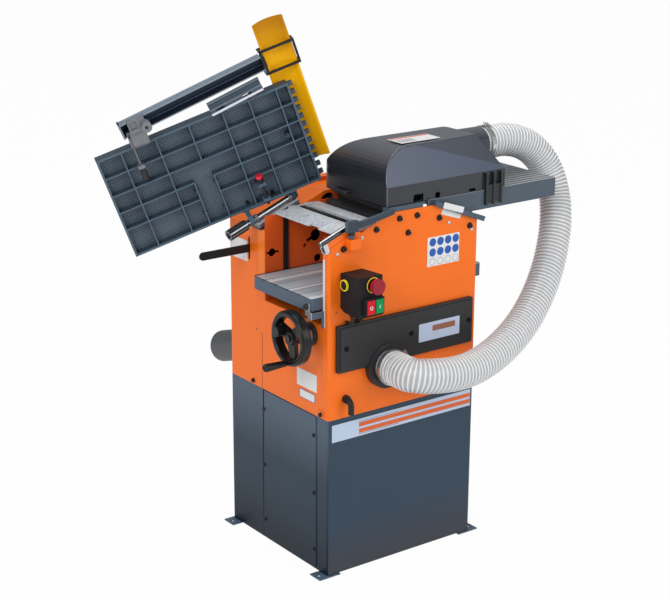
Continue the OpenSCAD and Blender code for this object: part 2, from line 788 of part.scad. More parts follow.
// Ring of points square to the route, with its first point kept near up
function ring_points(u, r, sides) = let (
    c = route_point(hose_route, u), t = u <= 0 ? [1, 0, 0] : u >= 1 ? [0, 1, 0] : route_dir(hose_route, u),
    a = unit(cross(t, [0.3, 0.9, 0.31])), b = cross(t, a)
) [for (k = [0:sides - 1]) c + r * (cos(360 * k / sides) * a + sin(360 * k / sides) * b)];

// Ribbed hose: outer rings rise and fall once a rib, and the bore runs through
hose_sides = 14;
bore_rings = 40;
module hose() {
    rib_u = [for (i = [0:2 * hose_ribs]) route_u(hose_len * i / (2 * hose_ribs))];
    outer = [for (i = [0:2 * hose_ribs]) ring_points(rib_u[i], i % 2 == 0 ? hose_r - 2.6 : hose_r, hose_sides)];
    inner = [for (i = [0:bore_rings]) ring_points(route_u(hose_len * i / bore_rings), hose_bore_r, hose_sides)];
    no = len(outer);
    ni = len(inner);
    pts = concat([for (ring = outer) for (p = ring) p], [for (ring = inner) for (p = ring) p]);
    base = no * hose_sides;
    function next(k) = (k + 1) % hose_sides;
    faces = concat(
        [for (i = [0:no - 2], k = [0:hose_sides - 1]) each [
            [i * hose_sides + k, i * hose_sides + next(k), (i + 1) * hose_sides + k],
            [i * hose_sides + next(k), (i + 1) * hose_sides + next(k), (i + 1) * hose_sides + k]
        ]],
        [for (i = [0:ni - 2], k = [0:hose_sides - 1]) each [
            [base + i * hose_sides + k, base + (i + 1) * hose_sides + k, base + i * hose_sides + next(k)],
            [base + i * hose_sides + next(k), base + (i + 1) * hose_sides + k, base + (i + 1) * hose_sides + next(k)]
        ]],
        [for (k = [0:hose_sides - 1]) each [
            [k, base + k, next(k)], [next(k), base + k, base + next(k)],
            [(no - 1) * hose_sides + k, (no - 1) * hose_sides + next(k), base + (ni - 1) * hose_sides + k],
            [(no - 1) * hose_sides + next(k), base + (ni - 1) * hose_sides + next(k), base + (ni - 1) * hose_sides + k]
        ]]
    );
    color([0.93, 0.94, 0.94]) polyhedron(points = pts, faces = faces);
}

// Moulded cover of the fan drive with the round flange of the hose
module fan_cover() {
    color([0.06, 0.06, 0.065]) difference() {
        union() {
            along_y(y0 - 12, y0) round_rect([-225, fan_z + 7], [226, fan_z + 134], 3);
            along_y(y0 - 15, y0 - 12 + eps) round_rect([-219, fan_z + 13], [220, fan_z + 128], 3);
            rod_y(fan_x, fan_z, flange_face, y0, 62);
            rod_y(fan_x, fan_z, flange_face - 34, flange_face + 1, spool_r);
        }
        rod_y(fan_x, fan_z, flange_face - 40, y0 + 1, spool_r - 3);
        for (p = [-200, 12, 211]) {
            rod_y(p, fan_z + 71, y0 - 20, y0 + 1, 4);
            rod_y(p, fan_z + 71, y0 - 20, y0 - 9, 8);
        }
    }
}

// Extraction duct across the body and the scroll housing of the fan
module fan_housing() {
    color([0.33, 0.35, 0.38]) difference() {
        union() {
            rod_y(fan_x, fan_z, y0 + sheet - 2, volute_y0 + 1, duct_r);
            rod_y(fan_x, fan_z, volute_y0, volute_y1, volute_r);
            block([x0 + 12, volute_y0, spigot_z - 52], [fan_x, volute_y1, spigot_z + 52]);
        }
        rod_y(fan_x, fan_z, y0 - 3, volute_y0 + 2, duct_r - duct_t);
        rod_y(fan_x, fan_z, volute_y0 + 3, volute_y1 - 3, volute_r - 3);
        block([x0 + 15, volute_y0 + 3, spigot_z - 49], [fan_x, volute_y1 - 3, spigot_z + 49]);
        rod_y(fan_x, fan_z, volute_y1 - 5, volute_y1 + 1, 10.5);
        rod_y(spigot_x, spigot_z, volute_y1 - 5, volute_y1 + 1, spigot_r - 3);
    }
}

// Exhaust spigot: flange on the body, tube into the fan housing and a tapered mouth
module outlet_spigot() {
    droop = 18;
    color([0.22, 0.23, 0.245]) difference() {
        union() {
            rod_y(spigot_x, spigot_z, volute_y1, y1 + 1, spigot_r);
            rod_y(spigot_x, spigot_z, y1, y1 + 22, spigot_r + 2);
            along_y(y1, y1 + 5) round_rect([spigot_x - 60, spigot_z - 52], [spigot_x + 60, spigot_z + 52], 10);
            translate([spigot_x, y1 + 5, spigot_z]) rotate([-90 - droop, 0, 0]) cylinder(h = spigot_l, r = spigot_r);
        }
        rod_y(spigot_x, spigot_z, volute_y1 - 1, y1 + 14, spigot_r - 4);
        translate([spigot_x, y1 + 5, spigot_z]) rotate([-90 - droop, 0, 0]) {
            translate([0, 0, -10]) cylinder(h = spigot_l + 20, r = spigot_r - 3);
        }
    }
}

// Motor housing with cooling ribs and feet that stand on a shelf bolted to the cabinet
module motor() {
    ya = -110;
    yb = 110;
    color([0.3, 0.33, 0.37]) difference() {
        union() {
            rod_y(motor_x, motor_z, ya, yb, motor_r - 8);
            for (a = [0:15:345]) translate([motor_x, 0, motor_z]) rotate([0, a, 0])
                block([-1.5, ya + 30, motor_r - 10], [1.5, yb - 30, motor_r]);
            rod_y(motor_x, motor_z, ya, ya + 28, motor_r);
            rod_y(motor_x, motor_z, yb - 28, yb, motor_r);
            block([motor_x - 70, ya + 40, motor_z - motor_r - 8], [motor_x + 70, yb - 40, motor_z - motor_r + 12]);
            block([x0 + sheet, ya + 20, motor_z - motor_r - 14], [x1 - sheet, yb - 20, motor_z - motor_r - 8]);
            block([motor_x - 30, ya + 60, motor_z + motor_r - 12], [motor_x + 40, yb - 70, motor_z + motor_r + 24]);
        }
        rod_y(motor_x, motor_z, ya + 20, yb + 1, 14 + fit);
    }
}

// Belts to the cutter and the fan, roller chain and lifting chain
module drive_belts() {
    color([0.05, 0.05, 0.05]) {
        along_y(cutter_belt_y - belt_w / 2, cutter_belt_y + belt_w / 2)
            loop_2d([motor_x, motor_z], motor_pulley_r + 0.4, [cutter_x, cutter_z], cutter_pulley_r + 0.4, 5);
        along_y(fan_belt_y - belt_w / 2, fan_belt_y + belt_w / 2)
            loop_2d([motor_x, motor_z], fan_pulley_r + 0.4, [fan_x, fan_z], fan_pulley_r + 0.4, 5);
        for (p = [[-1, chain_y], [1, chain_y + 10]]) along_y(p[1] - 3, p[1] + 3)
            loop_2d([cutter_x + p[0] * roller_gap, roller_z], 16.4, [cutter_x, feed_z], 16.4, 4);
        translate([screw_x, 0, beam_top + 4]) linear_extrude(6)
            loop_2d([0, screw_near_y], 26.4, [0, screw_far_y], 26.4, 4);
    }
}

// Beam across the passage that carries both lifting nuts
module lift_bracket() {
    color([0.32, 0.34, 0.36]) difference() {
        block([screw_x - 26, passage_near, beam_top - 16], [screw_x + 26, passage_far, beam_top]);
        for (y = [screw_near_y, screw_far_y]) translate([screw_x, y, beam_top - 20])
            cylinder(h = 24, r = screw_r + 5 + fit);
    }
}

// Flanged bearing of the handwheel shaft, with a bright ring
module wheel_bearing() {
    color([0.14, 0.14, 0.15]) difference() {
        union() {
            rod_x(wheel_y, wheel_z, x0 - 6, x0, 31);
            rod_x(wheel_y, wheel_z, x0 - 24, x0 - 6 + eps, 22);
            rod_x(wheel_y, wheel_z, x0 - eps, x0 + 30, wheel_shaft_r + 2.8);
        }
        rod_x(wheel_y, wheel_z, x0 - 30, x0 + 31, wheel_shaft_r + fit);
    }
}

// Switch box: flared housing with cut-outs for its controls
module switch_box() {
    color([0.07, 0.07, 0.075]) difference() {
        intersection() {
            translate([0, 0, box_z - 80]) linear_extrude(160) polygon([
                [box_x - box_w_back / 2, y0], [box_x - box_w_front / 2, box_face],
                [box_x + box_w_front / 2, box_face], [box_x + box_w_back / 2, y0]
            ]);
            along_x(box_x - 60, box_x + 60) polygon([
                [y0, box_z - box_h_back / 2 + 8], [y0 - 16, box_z - box_h_back / 2],
                [box_face, box_z - box_h_front / 2], [box_face, box_z + box_h_front / 2],
                [y0, box_z + box_h_back / 2]
            ]);
        }
        rod_y(box_x + 8, box_z + 30, box_face - 1, box_face + 24, 9 + fit);
        block([box_x - 24, box_face - 1, box_z - 46], [box_x + 35, box_face + 20, box_z - 1]);
        rod_x(y0 - 24, box_z + 24, box_x - 60, box_x - 20, 6 + fit);
    }
    color([0.05, 0.05, 0.055]) difference() {
        block([box_x - 24, box_face - 12, box_z - 46], [box_x + 35, box_face + 20, box_z - 1]);
        block([box_x - 20, box_face - 13, box_z - 42.5], [box_x + 4.5, box_face + 14, box_z - 4.5]);
        block([box_x + 7, box_face - 13, box_z - 42.5], [box_x + 31.5, box_face + 14, box_z - 4.5]);
    }
}

// Glands under the switch box and the two leads that run down behind the fan cover
module switch_cables() {
    foot_z = fan_z + 134;
    color([0.06, 0.06, 0.065]) for (p = [[box_x - 16, y0 - 26], [box_x + 14, y0 - 26]]) {
        top_z = box_z - box_h_back / 2 - 1.6;
        translate([p.x, p.y, top_z - 12]) cylinder(h = 12, r1 = 6, r2 = 9);
        translate([p.x, p.y, foot_z + 17]) cylinder(h = top_z - 12 - foot_z - 17 + eps, r = 4.5);
        translate([p.x, p.y + 12, foot_z + 17]) rotate([90, 0, 90]) rotate(180)
            rotate_extrude(angle = 90) translate([12, 0]) circle(4.5, $fn = 24);
        rod_y(p.x, foot_z + 5, p.y + 12 - eps, y0, 4.5);
    }
}

// Mains inlet: an elbow gland on the switch-side panel
module mains_inlet() {
    color([0.05, 0.05, 0.055]) {
        rod_y(x0 + 55, base_h + 52, y0 - 10, y0, 11);
        translate([x0 + 55, y0 - 10, base_h + 36]) rotate([90, 0, 90]) rotate(90)
            rotate_extrude(angle = 90) translate([16, 0]) circle(8, $fn = 32);
        translate([x0 + 55, y0 - 26, base_h + 16]) cylinder(h = 20 + eps, r = 8);
    }
}

// Closed gearbox of the roller drive, on a foot fixed to the drive wall
module feed_gearbox() {
    ya = chain_y + 18;
    color([0.36, 0.38, 0.4]) difference() {
        union() {
            block([cutter_x - 40, ya, feed_z - 46], [cutter_x + 40, ya + 40, feed_z + 34]);
            block([cutter_x - 40, passage_far + sheet, feed_z - 46], [cutter_x + 40, ya + 1, feed_z - 30]);
        }
        rod_y(cutter_x, feed_z, ya - 1, ya + 25, journal_r + fit);
    }
}

// Output shaft of the feed gearbox with its two chain wheels
module feed_output() {
    color([0.6, 0.61, 0.63]) {
        rod_y(cutter_x, feed_z, chain_y - 5, chain_y + 36, journal_r);
        for (y = [chain_y, chain_y + 10]) rod_y(cutter_x, feed_z, y - 2.5, y + 2.5, 16);
    }
}

// Infeed table casting, drawn closed: skin, ribs, rim, toothed lip and hinge knuckles
module infeed_closed() {
    rim = 6;
    rib_x = [-467, -372, -187, -112, -36];
    rib_y = [80, 130, 180, 232];
    channel = [-320, -264];
    cuts = concat([-infeed_l + rim], rib_x, [-rim]);
    rows = concat([rim], rib_y, [table_w - rim]);
    pocket_z = table_h - skin_t;
    grooves = floor((table_w - 20) / groove_pitch);
    difference() {
        union() {
            block([infeed_end, table_near, table_under], [infeed_root, table_far, table_h]);
            translate([infeed_root, 0, table_h - lip_t]) linear_extrude(lip_t) lip_outline(table_far, table_w);
            block([hinge_x - 90, table_far - eps, table_under], [hinge_x + 68, table_far + 3, table_h - 8]);
            for (s = [-85, 59]) {
                axis_z = hinge_z + s * sin(incline);
                on_rod(s - 8) cylinder(h = 16, r = rod_d / 2 + 3.5);
                block([hinge_x + s * cos(incline) - 6, table_far - eps, min(axis_z - 7, table_under + 4)],
                      [hinge_x + s * cos(incline) + 6, hinge_y - rod_d / 2, max(axis_z + 7, table_under + 14)]);
            }
            for (v = [10, 54]) block([latch_x - 11, table_far - v - 8, latch_z - 8],
                                     [latch_x + 11, table_far - v, table_h - skin_t + 1]);
        }
        difference() {
            union() for (j = [0:len(rows) - 2], i = [0:len(cuts) - 2]) {
            xa = infeed_root + cuts[i] + (i == 0 ? 0 : rib_t / 2);
            xb = infeed_root + cuts[i + 1] - (i == len(cuts) - 2 ? 0 : rib_t / 2);
            ya = table_far - rows[j + 1] + (j == len(rows) - 2 ? 0 : rib_t / 2);
            yb = table_far - rows[j] - (j == 0 ? 0 : rib_t / 2);
            split = i == 2 && j < 2;
            mid = infeed_root - 280;
            if (split) {
                block([xa, ya, table_under - 1], [infeed_root + channel[0] - rib_t / 2, yb, pocket_z]);
                block([infeed_root + channel[0] + rib_t / 2, ya - rib_t, table_under - 1],
                      [infeed_root + channel[1] - rib_t / 2, yb + (j == 0 ? 0 : rib_t), pocket_z]);
                block([infeed_root + channel[1] + rib_t / 2, ya, table_under - 1], [xb, yb, pocket_z]);
            } else if (i == 2 && j > 2) {
                block([xa, ya, table_under - 1], [mid - rib_t / 2, yb, pocket_z]);
                block([mid + rib_t / 2, ya, table_under - 1], [xb, yb, pocket_z]);
            } else {
                block([xa, ya, table_under - 1], [xb, yb, pocket_z]);
            }
            }
            for (v = [10, 54]) block([latch_x - 11, table_far - v - 8, latch_z - 9],
                                     [latch_x + 11, table_far - v, table_h]);
        }
        on_rod(-99) cylinder(h = 190, r = rod_d / 2 + fit);
        translate([latch_x, table_far + 10, latch_z]) rotate([90, 0, 0]) cylinder(h = 80, r = 4 + fit);
        for (i = [1:grooves]) {
            y = table_near + i * table_w / (grooves + 1);
            block([infeed_end - 1, y - 1.5, table_h - 1.5], [infeed_root - 8, y + 1.5, table_h + 1]);
        }
    }
    for (p = [[-187, 232], [-187, 180], [-264, 105], [-264, 30], [-320, 100], [-320, 34], [-44, 150]]) {
        translate([infeed_root + p.x, table_far - p.y, table_under + 6]) cylinder(h = table_t - skin_t - 6, r = 7);
    }
}

module infeed_table() {
    color([0.27, 0.34, 0.4]) raised() infeed_closed();
}

// Short slotted rail on the free edge of the infeed table
module table_rail() {
    color([0.3, 0.37, 0.43]) raised() {
        translate([infeed_root - 66, table_near - 12, table_under - 12]) rotate(-5.5) difference() {
            block([-148, -36, 0], [0, 0, 11.6]);
            block([-149, -33, -1], [1, -14, 8]);
            for (x = [-134, -58]) translate([x, 0, -1]) linear_extrude(20) round_rect([0, -13], [26, -7], 2.9);
        }
        for (u = [-186, -96]) block([infeed_root + u - 9, table_near - 20, table_under - 3],
                                    [infeed_root + u + 9, table_near, table_under + 14]);
    }
}

// Cast fence bracket on the free edge, with its clamp boss and the block of the clamp rod
bracket_u = infeed_root - 411;
rod_u = infeed_root - 431;
rod_z = table_under - 13;
module fence_bracket() {
    tu = table_under;
    color([0.62, 0.64, 0.66]) raised() difference() {
        union() {
            block([bracket_u - 25, table_near - 44, tu - 16], [bracket_u + 25, table_near - 3, tu - 6]);
            block([bracket_u - 25, table_near - 9, tu - 7], [bracket_u + 25, table_near, tu + 18]);
            block([bracket_u - 25, table_near - 9, tu - 7], [bracket_u + 25, table_near + 5, tu]);
            block([bracket_u - 14, table_near - 76, tu - 24], [bracket_u + 32, table_near - 40, tu - 6]);
            translate([bracket_u + 29, table_near - 48, tu - 38]) cylinder(h = 32, r = 14);
        }
        translate([rod_u, table_near - 60, rod_z]) rotate([-90, 0, 0]) cylinder(h = 80, r = 4 + fit);
        translate([bracket_u + 29, table_near - 48, tu - 39]) cylinder(h = 10, r = 5, $fn = 6);
        block([bracket_u - 9, table_near - 70, tu - 25], [bracket_u + 9, table_near - 50, tu - 19]);
    }
    color([0.27, 0.34, 0.4]) raised() difference() {
        block([rod_u - 9, table_near + 48, tu - 20], [rod_u + 9, table_near + 58, tu]);
        translate([rod_u, table_near + 40, rod_z]) rotate([-90, 0, 0]) cylinder(h = 30, r = 4 + fit);
    }
}

// Clamp rod of the fence bracket with its knob
module clamp_rod() {
    raised() {
        color([0.5, 0.5, 0.52]) translate([rod_u, table_near - 30, rod_z]) rotate([-90, 0, 0])
            cylinder(h = 92, r = 4);
        color([0.05, 0.05, 0.055]) translate([rod_u, table_near + 60, rod_z]) rotate([-90, 0, 0]) {
            cylinder(h = 8, r1 = 5, r2 = 8);
            translate([0, 0, 8]) cylinder(h = 22, r = 8);
        }
    }
}

// Places what is drawn along the fence: x from its lip end, y outwards, z up
fence_skew = -4;
fence_u = infeed_root - 46;
fence_y = table_near - 57 - fence_h;
fence_z = table_under - 6;
module on_fence() {
    raised() translate([fence_u, fence_y, fence_z]) rotate(fence_skew) children();
}

// Fence: channel with lipped flanges and a moulded end cap
module fence() {
    color([0.2, 0.26, 0.32]) on_fence() along_x(-fence_l, 0) difference() {
        square([fence_h, fence_d]);
        translate([3, -1]) square([fence_h - 6, fence_d - 2]);
        translate([-1, 8]) square([3, 4]);
        translate([-1, 18]) square([3, 4]);
    }
    color([0.05, 0.05, 0.055]) on_fence() block([-fence_l - 5, -1, -1], [-fence_l, fence_h + 1, fence_d + 1]);
}

// Holder of the cutter guard: two rings round the guard joined by bars, and the fence clip
guard_x = infeed_root + 8;
guard_z = table_h + 4;
guard_rise = 18;
ring_gap = 1;
module guard_holder() {
    bar = 6;
    xa = guard_x - guard_w / 2 - ring_gap;
    xb = guard_x + guard_w / 2 + ring_gap;
    za = guard_z - ring_gap;
    zb = guard_z + guard_rise + ring_gap;
    yc = table_near - 62;
    color([0.07, 0.07, 0.075]) raised() {
        for (y = [yc - 34, yc + 28]) difference() {
            block([xa - bar, y, za - bar], [xb + bar, y + bar, zb + bar]);
            block([xa, y - 1, za], [xb, y + bar + 1, zb]);
        }
        for (x = [xa - bar, xb]) block([x, yc - 28, za - bar], [x + bar, yc + 28, za]);
        block([fence_u + 4, yc - 18, fence_z + 8], [xa, yc + 18, za + 8]);
    }
    color([0.07, 0.07, 0.075]) on_fence() block([0, 4, 6], [10, fence_h - 4, fence_d - 2]);
}

// Cutter guard: a long arched extrusion
module bridge_guard() {
    rise = guard_rise;
    r = (guard_w * guard_w / 4 + rise * rise) / (2 * rise);
    half = asin(guard_w / 2 / r);
    top = table_far - 44;
    color([0.93, 0.66, 0.05]) raised() translate([guard_x, 0, guard_z]) along_y(top - guard_l, top)
        polygon(concat(
            arc_points([0, rise - r], r, 90 - half, 90 + half, 16),
            [[-guard_w / 2 + 3, 0]],
            arc_points([0, rise - r - 1], r - 3, 90 + half - 5, 90 - half + 5, 16),
            [[guard_w / 2 - 3, 0]]
        ));
}

// Spring latch of the raised table with its red cap
latch_x = infeed_root - 157;
latch_z = table_under - 11;
module latch_pin() {
    raised() translate([latch_x, table_far + 1, latch_z]) rotate([90, 0, 0]) {
        color([0.1, 0.1, 0.11]) cylinder(h = 76, r = 4);
        color([0.75, 0.05, 0.09]) translate([0, 0, 74]) cylinder(h = 5, r1 = 6, r2 = 10);
        color([0.75, 0.05, 0.09]) translate([0, 0, 79]) cylinder(h = 8, r = 10);
    }
}

// Thicknessing table: grooved top, apron with round corners, and the height pointer
module thickness_table() {
    na = passage_near + gap;
    fa = passage_far - gap;
    grooves = floor((fa - na) / groove_pitch / 3);
    guide_cut = guide_w / 2 + gap;
    color([0.55, 0.57, 0.59]) difference() {
        translate([0, 0, thick_top - thick_t]) linear_extrude(thick_t)
            round_rect([-thick_l / 2, na], [thick_l / 2, fa], 12);
        translate([0, 0, thick_top - thick_t - 1]) linear_extrude(thick_t - 11)
            difference() {
                round_rect([-thick_l / 2 + 6, na + 6 + guide_t], [thick_l / 2 - 6, fa - 6 - guide_t], 6);
                for (y = [screw_near_y, screw_far_y]) translate([screw_x, y]) circle(screw_r + 9);
                translate([-4, na]) square([8, fa - na]);
            }
        for (y = [na - 1, fa - guide_t - gap + gap]) translate([0, 0, thick_top - thick_t - 1])
            block([guide_x - guide_cut, y, 0], [guide_x + guide_cut, y + guide_t + 1, thick_t + 2]);
        for (i = [1:grooves]) {
            y = na + i * (fa - na) / (grooves + 1);
            block([-thick_l / 2 - 1, y - 2.5, thick_top - 2], [thick_l / 2 + 1, y + 2.5, thick_top + 1]);
        }
        for (y = [screw_near_y, screw_far_y]) translate([screw_x, y, thick_top - thick_t - 1])
            cylinder(h = thick_t - 11, r = screw_r);
    }
    front = -thick_l / 2;
    color([0.7, 0.72, 0.74]) {
        block([front - 2, na + 1, thick_top - 46], [front, na + 20, thick_top - 12]);
        block([front - 2, na - 8.5, thick_top - 53], [front, na + 9, thick_top - 34]);
        block([front - 2, na - 8.5, thick_top - 53], [x0 - 2.5, na - 6.5, thick_top - 36]);
        block([x0 - 9, na - 8.5, thick_top - 81], [x0 - 2.5, na - 6.5, thick_top - 36]);
        translate([front - 2, na + 12, thick_top - 21]) rotate([0, -90, 0]) {
            cylinder(h = 2, r = 9);
            translate([0, 0, 2 - eps]) pan_screw(7, 5);
        }
    }
}

// Two lifting screws fixed under the thicknessing table
module lift_screws() {
    color([0.68, 0.69, 0.71]) for (y = [screw_near_y, screw_far_y])
        translate([screw_x, y, thick_under - screw_l]) cylinder(h = screw_l, r = screw_r - fit);
}

// Rotating lifting nut: hub in the beam, chain wheel, and a bevel gear on the driven one
module lift_nut(y, driven) {
    wheel_z0 = beam_top + 4;
    color([0.62, 0.55, 0.35]) translate([screw_x, y, 0]) difference() {
        union() {
            translate([0, 0, beam_top - 20]) cylinder(h = 24 + 6, r = screw_r + 5);
            translate([0, 0, beam_top + 0.2]) cylinder(h = 3.8 + eps, r = screw_r + 10);
            translate([0, 0, wheel_z0]) cylinder(h = 6, r = 26);
            if (driven) {
                translate([0, 0, wheel_z0 + 6 - eps]) cylinder(h = wheel_z - bevel_r - wheel_z0 - 6 + 2 * eps, r = screw_r + 7);
                translate([0, 0, wheel_z - bevel_r]) cylinder(h = bevel_face, r1 = bevel_r - 0.4, r2 = bevel_r - bevel_face - 0.4);
            }
        }
        translate([0, 0, beam_top - 30]) cylinder(h = 120, r = screw_r);
        for (a = [0:30:330]) rotate(a) translate([24.5, -2, wheel_z0 - 1]) cube([4, 4, 8]);
        if (driven) for (a = [11.25:22.5:360]) rotate(a) translate([bevel_r - 0.4, 0, wheel_z - bevel_r])
            rotate([0, -45, 0]) translate([-1.6, -1.6, -4]) cube([3, 3.2, 28]);
    }
}

module near_lift_nut() {
    lift_nut(screw_near_y, true);
}

module far_lift_nut() {
    lift_nut(screw_far_y, false);
}

// Handwheel: round rim, three spokes and a hub
module handwheel() {
    rim_t = 17;
    web_x = wheel_face + rim_w * 0.55;
    spoke_end = -(wheel_r - rim_t + 2);
    corners = [[rim_t - 6, rim_w - 6, 0], [6, rim_w - 6, 90], [6, 6, 180], [rim_t - 6, 6, 270]];
    color([0.06, 0.06, 0.065]) difference() {
        union() {
            translate([wheel_face, wheel_y, wheel_z]) rotate([0, 90, 0]) rotate_extrude($fn = 72)
                translate([wheel_r - rim_t, 0])
                    polygon([for (c = corners, a = [0:30:90]) [c.x + 6 * cos(c.z + a), c.y + 6 * sin(c.z + a)]]);
            rod_x(wheel_y, wheel_z, wheel_face + 6, x0 - 25, 19);
            for (a = [50, 170, 290]) translate([web_x - 5, wheel_y, wheel_z]) rotate([a, 0, 0]) rotate([0, 90, 0])
                linear_extrude(12) polygon([[-8, -16], [-8, 16], [spoke_end, 12], [spoke_end, -12]]);
        }
        rod_x(wheel_y, wheel_z, wheel_face, x0 - 20, wheel_shaft_r + fit);
        rod_x(wheel_y + lock_off[0], wheel_z + lock_off[1], wheel_face - 2, x0, 4 + fit);
        rod_x(wheel_y, wheel_z - wheel_r + 8.5, wheel_face - 1, wheel_face + 15, 4);
    }
}
lock_off = [34, 13];

// Handwheel shaft with its bevel pinion
module wheel_shaft() {
    color([0.66, 0.67, 0.69]) difference() {
        union() {
            rod_x(wheel_y, wheel_z, wheel_face + 2, screw_x - screw_r - 6, wheel_shaft_r);
            translate([screw_x - bevel_r, wheel_y, wheel_z]) rotate([0, 90, 0])
                cylinder(h = bevel_face, r1 = bevel_r - 0.4, r2 = bevel_r - bevel_face - 0.4);
        }
        for (a = [0:22.5:350]) translate([screw_x - bevel_r, wheel_y, wheel_z]) rotate([a, 0, 0])
            translate([0, 0, bevel_r - 0.4]) rotate([0, 45, 0]) translate([-4, -1.6, -1.4]) cube([28, 3.2, 3]);
    }
}

// Crank handle on the rim, a turned grip on its own pin
module crank_handle() {
    cz = wheel_z - wheel_r + 8.5;
    color([0.06, 0.06, 0.065]) translate([wheel_face - 0.4, wheel_y, cz]) rotate([0, -90, 0]) {
        rotate_extrude() polygon([
            [0, 0], [7.5, 0], [8.5, 5], [8.5, 14], [9.5, 34], [10.8, crank_l - 8], [10.8, crank_l - 3],
            [9.5, crank_l], [6.5, crank_l], [6, crank_l - 2], [0, crank_l - 2]
        ]);
    }
    color([0.66, 0.67, 0.69]) rod_x(wheel_y, cz, wheel_face - 1, wheel_face + 14, 4 - fit);
}

// Lock knob in the web of the handwheel
module wheel_lock_knob() {
    color([0.08, 0.08, 0.085]) {
        rod_x(wheel_y + lock_off[0], wheel_z + lock_off[1], wheel_face - 12, wheel_face + 7, 14.5);
        rod_x(wheel_y + lock_off[0], wheel_z + lock_off[1], wheel_face + 5, wheel_face + 30, 4);
    }
}

// Cutter block: drum with knife slots, journals and its pulley
block_r = cut_r - 2;
module cutter_block() {
    pulley_a = cutter_belt_y - 8;
    color([0.6, 0.62, 0.64]) difference() {
        union() {
            rod_y(cutter_x, cutter_z, passage_near + 2, passage_far - 2, block_r);
            rod_y(cutter_x, cutter_z, y0 + sheet + 1, pulley_a + 18, shaft_r);
            rod_y(cutter_x, cutter_z, pulley_a, pulley_a + 16, cutter_pulley_r - 4);
            rod_y(cutter_x, cutter_z, pulley_a, pulley_a + 2, cutter_pulley_r - fit);
            rod_y(cutter_x, cutter_z, pulley_a + 14, pulley_a + 16, cutter_pulley_r - fit);
        }
        for (i = [0:knives - 1]) translate([cutter_x, 0, cutter_z]) rotate([0, 360 / knives * i + 20, 0])
            block([-4, passage_near, block_r - 14], [5, passage_far, block_r + 2]);
    }
}

// Knives with their wedges, one in each slot
module cutter_knives() {
    color([0.8, 0.81, 0.83]) for (i = [0:knives - 1]) translate([cutter_x, 0, cutter_z])
        rotate([0, 360 / knives * i + 20, 0]) {
            along_y(passage_near + 4, passage_far - 4) polygon([
                [-4, block_r - 13.8], [-1, block_r - 13.8], [-1, cut_r - 0.6], [-4, cut_r - 2.5]
            ]);
            along_y(passage_near + 6, passage_far - 6) polygon([
                [-1, block_r - 13.8], [4.8, block_r - 13.8], [4.8, block_r - 2], [-1, block_r - 2]
            ]);
        }
}

// Feed roller with journals and a chain wheel
module feed_roller(x, grooved, out) {
    color(grooved ? [0.55, 0.57, 0.58] : [0.12, 0.12, 0.12]) difference() {
        union() {
            rod_y(x, roller_z, passage_near + 2, passage_far - 2, roller_r);
            rod_y(x, roller_z, passage_near - 12, out + 4, journal_r);
            rod_y(x, roller_z, out - 2.5, out + 2.5, 16);
        }
        if (grooved) for (a = [0:15:345]) translate([x, 0, roller_z]) rotate([0, a, 0])
            block([-1.2, passage_near, roller_r - 1.2], [1.2, passage_far - 1, roller_r + 1]);
    }
}

module infeed_roller() {
    feed_roller(cutter_x - roller_gap, true, chain_y);
}

module outfeed_roller() {
    feed_roller(cutter_x + roller_gap, false, chain_y + 10);
}

// Motor rotor: shaft and its stepped pulley
module motor_rotor() {
    color([0.55, 0.56, 0.58]) {
        rod_y(motor_x, motor_z, -80, fan_belt_y + 10, 14);
        for (p = [[cutter_belt_y, motor_pulley_r], [fan_belt_y, fan_pulley_r]]) {
            rod_y(motor_x, motor_z, p[0] - 8, p[0] + 8, p[1] - 4);
            for (s = [-8, 6]) rod_y(motor_x, motor_z, p[0] + s, p[0] + s + 2, p[1] - fit);
        }
    }
}

// Fan impeller: back plate, curved blades, hub, shaft and pulley
module fan_impeller() {
    blade_n = 8;
    ya = volute_y0 + 8;
    yb = volute_y1 - 8;
    color([0.45, 0.47, 0.5]) {
        rod_y(fan_x, fan_z, yb - 3, yb, volute_r - 10);
        rod_y(fan_x, fan_z, yb - 34, fan_belt_y + 10, 10);
        for (i = [0:blade_n - 1]) translate([fan_x, 0, fan_z]) rotate([0, 360 / blade_n * i, 0])
            translate([12, 0, 0]) rotate([0, 12, 0]) block([0, ya, -1.5], [volute_r - 26, yb - 3 + eps, 1.5]);
        rod_y(fan_x, fan_z, fan_belt_y - 8, fan_belt_y + 8, fan_pulley_r - 4);
        for (s = [-8, 6]) rod_y(fan_x, fan_z, fan_belt_y + s, fan_belt_y + s + 2, fan_pulley_r - fit);
    }
}

// Feed lever: flat bar with a round end, on a pivot inside the drive housing
module feed_lever() {
    pivot_x = x0 + 74;
    color([0.05, 0.05, 0.055]) difference() {
        union() {
            block([x0 - lever_l + 11, lever_y - 2, lever_z - 11], [pivot_x, lever_y + 2, lever_z + 11]);
            rod_y(x0 - lever_l + 11, lever_z, lever_y - 2, lever_y + 2, 11);
            rod_y(pivot_x, lever_z, lever_y - 2, lever_y + 2, 15);
            rod_y(pivot_x, lever_z, passage_far + sheet + 0.3, lever_y, 9);
        }
    }
}

// Emergency stop: mushroom head on a stem
module estop_button() {
    color([0.78, 0.05, 0.1]) translate([box_x + 8, box_face + 18, box_z + 30]) rotate([90, 0, 0]) {
        cylinder(h = 30, r = 9);
        translate([0, 0, 24]) cylinder(h = 8, r1 = 13, r2 = estop_d / 2);
        translate([0, 0, 32]) cylinder(h = 11, r = estop_d / 2);
    }
}

// Push buttons that stand in the bezel
module push_button(x) {
    color(x < box_x ? [0.85, 0.05, 0.12] : [0.0, 0.55, 0.3])
        block([x, box_face - 15, box_z - 42], [x + 23.5, box_face + 8, box_z - 5]);
}

module stop_button() {
    push_button(box_x - 19.5);
}

module start_button() {
    push_button(box_x + 7.5);
}

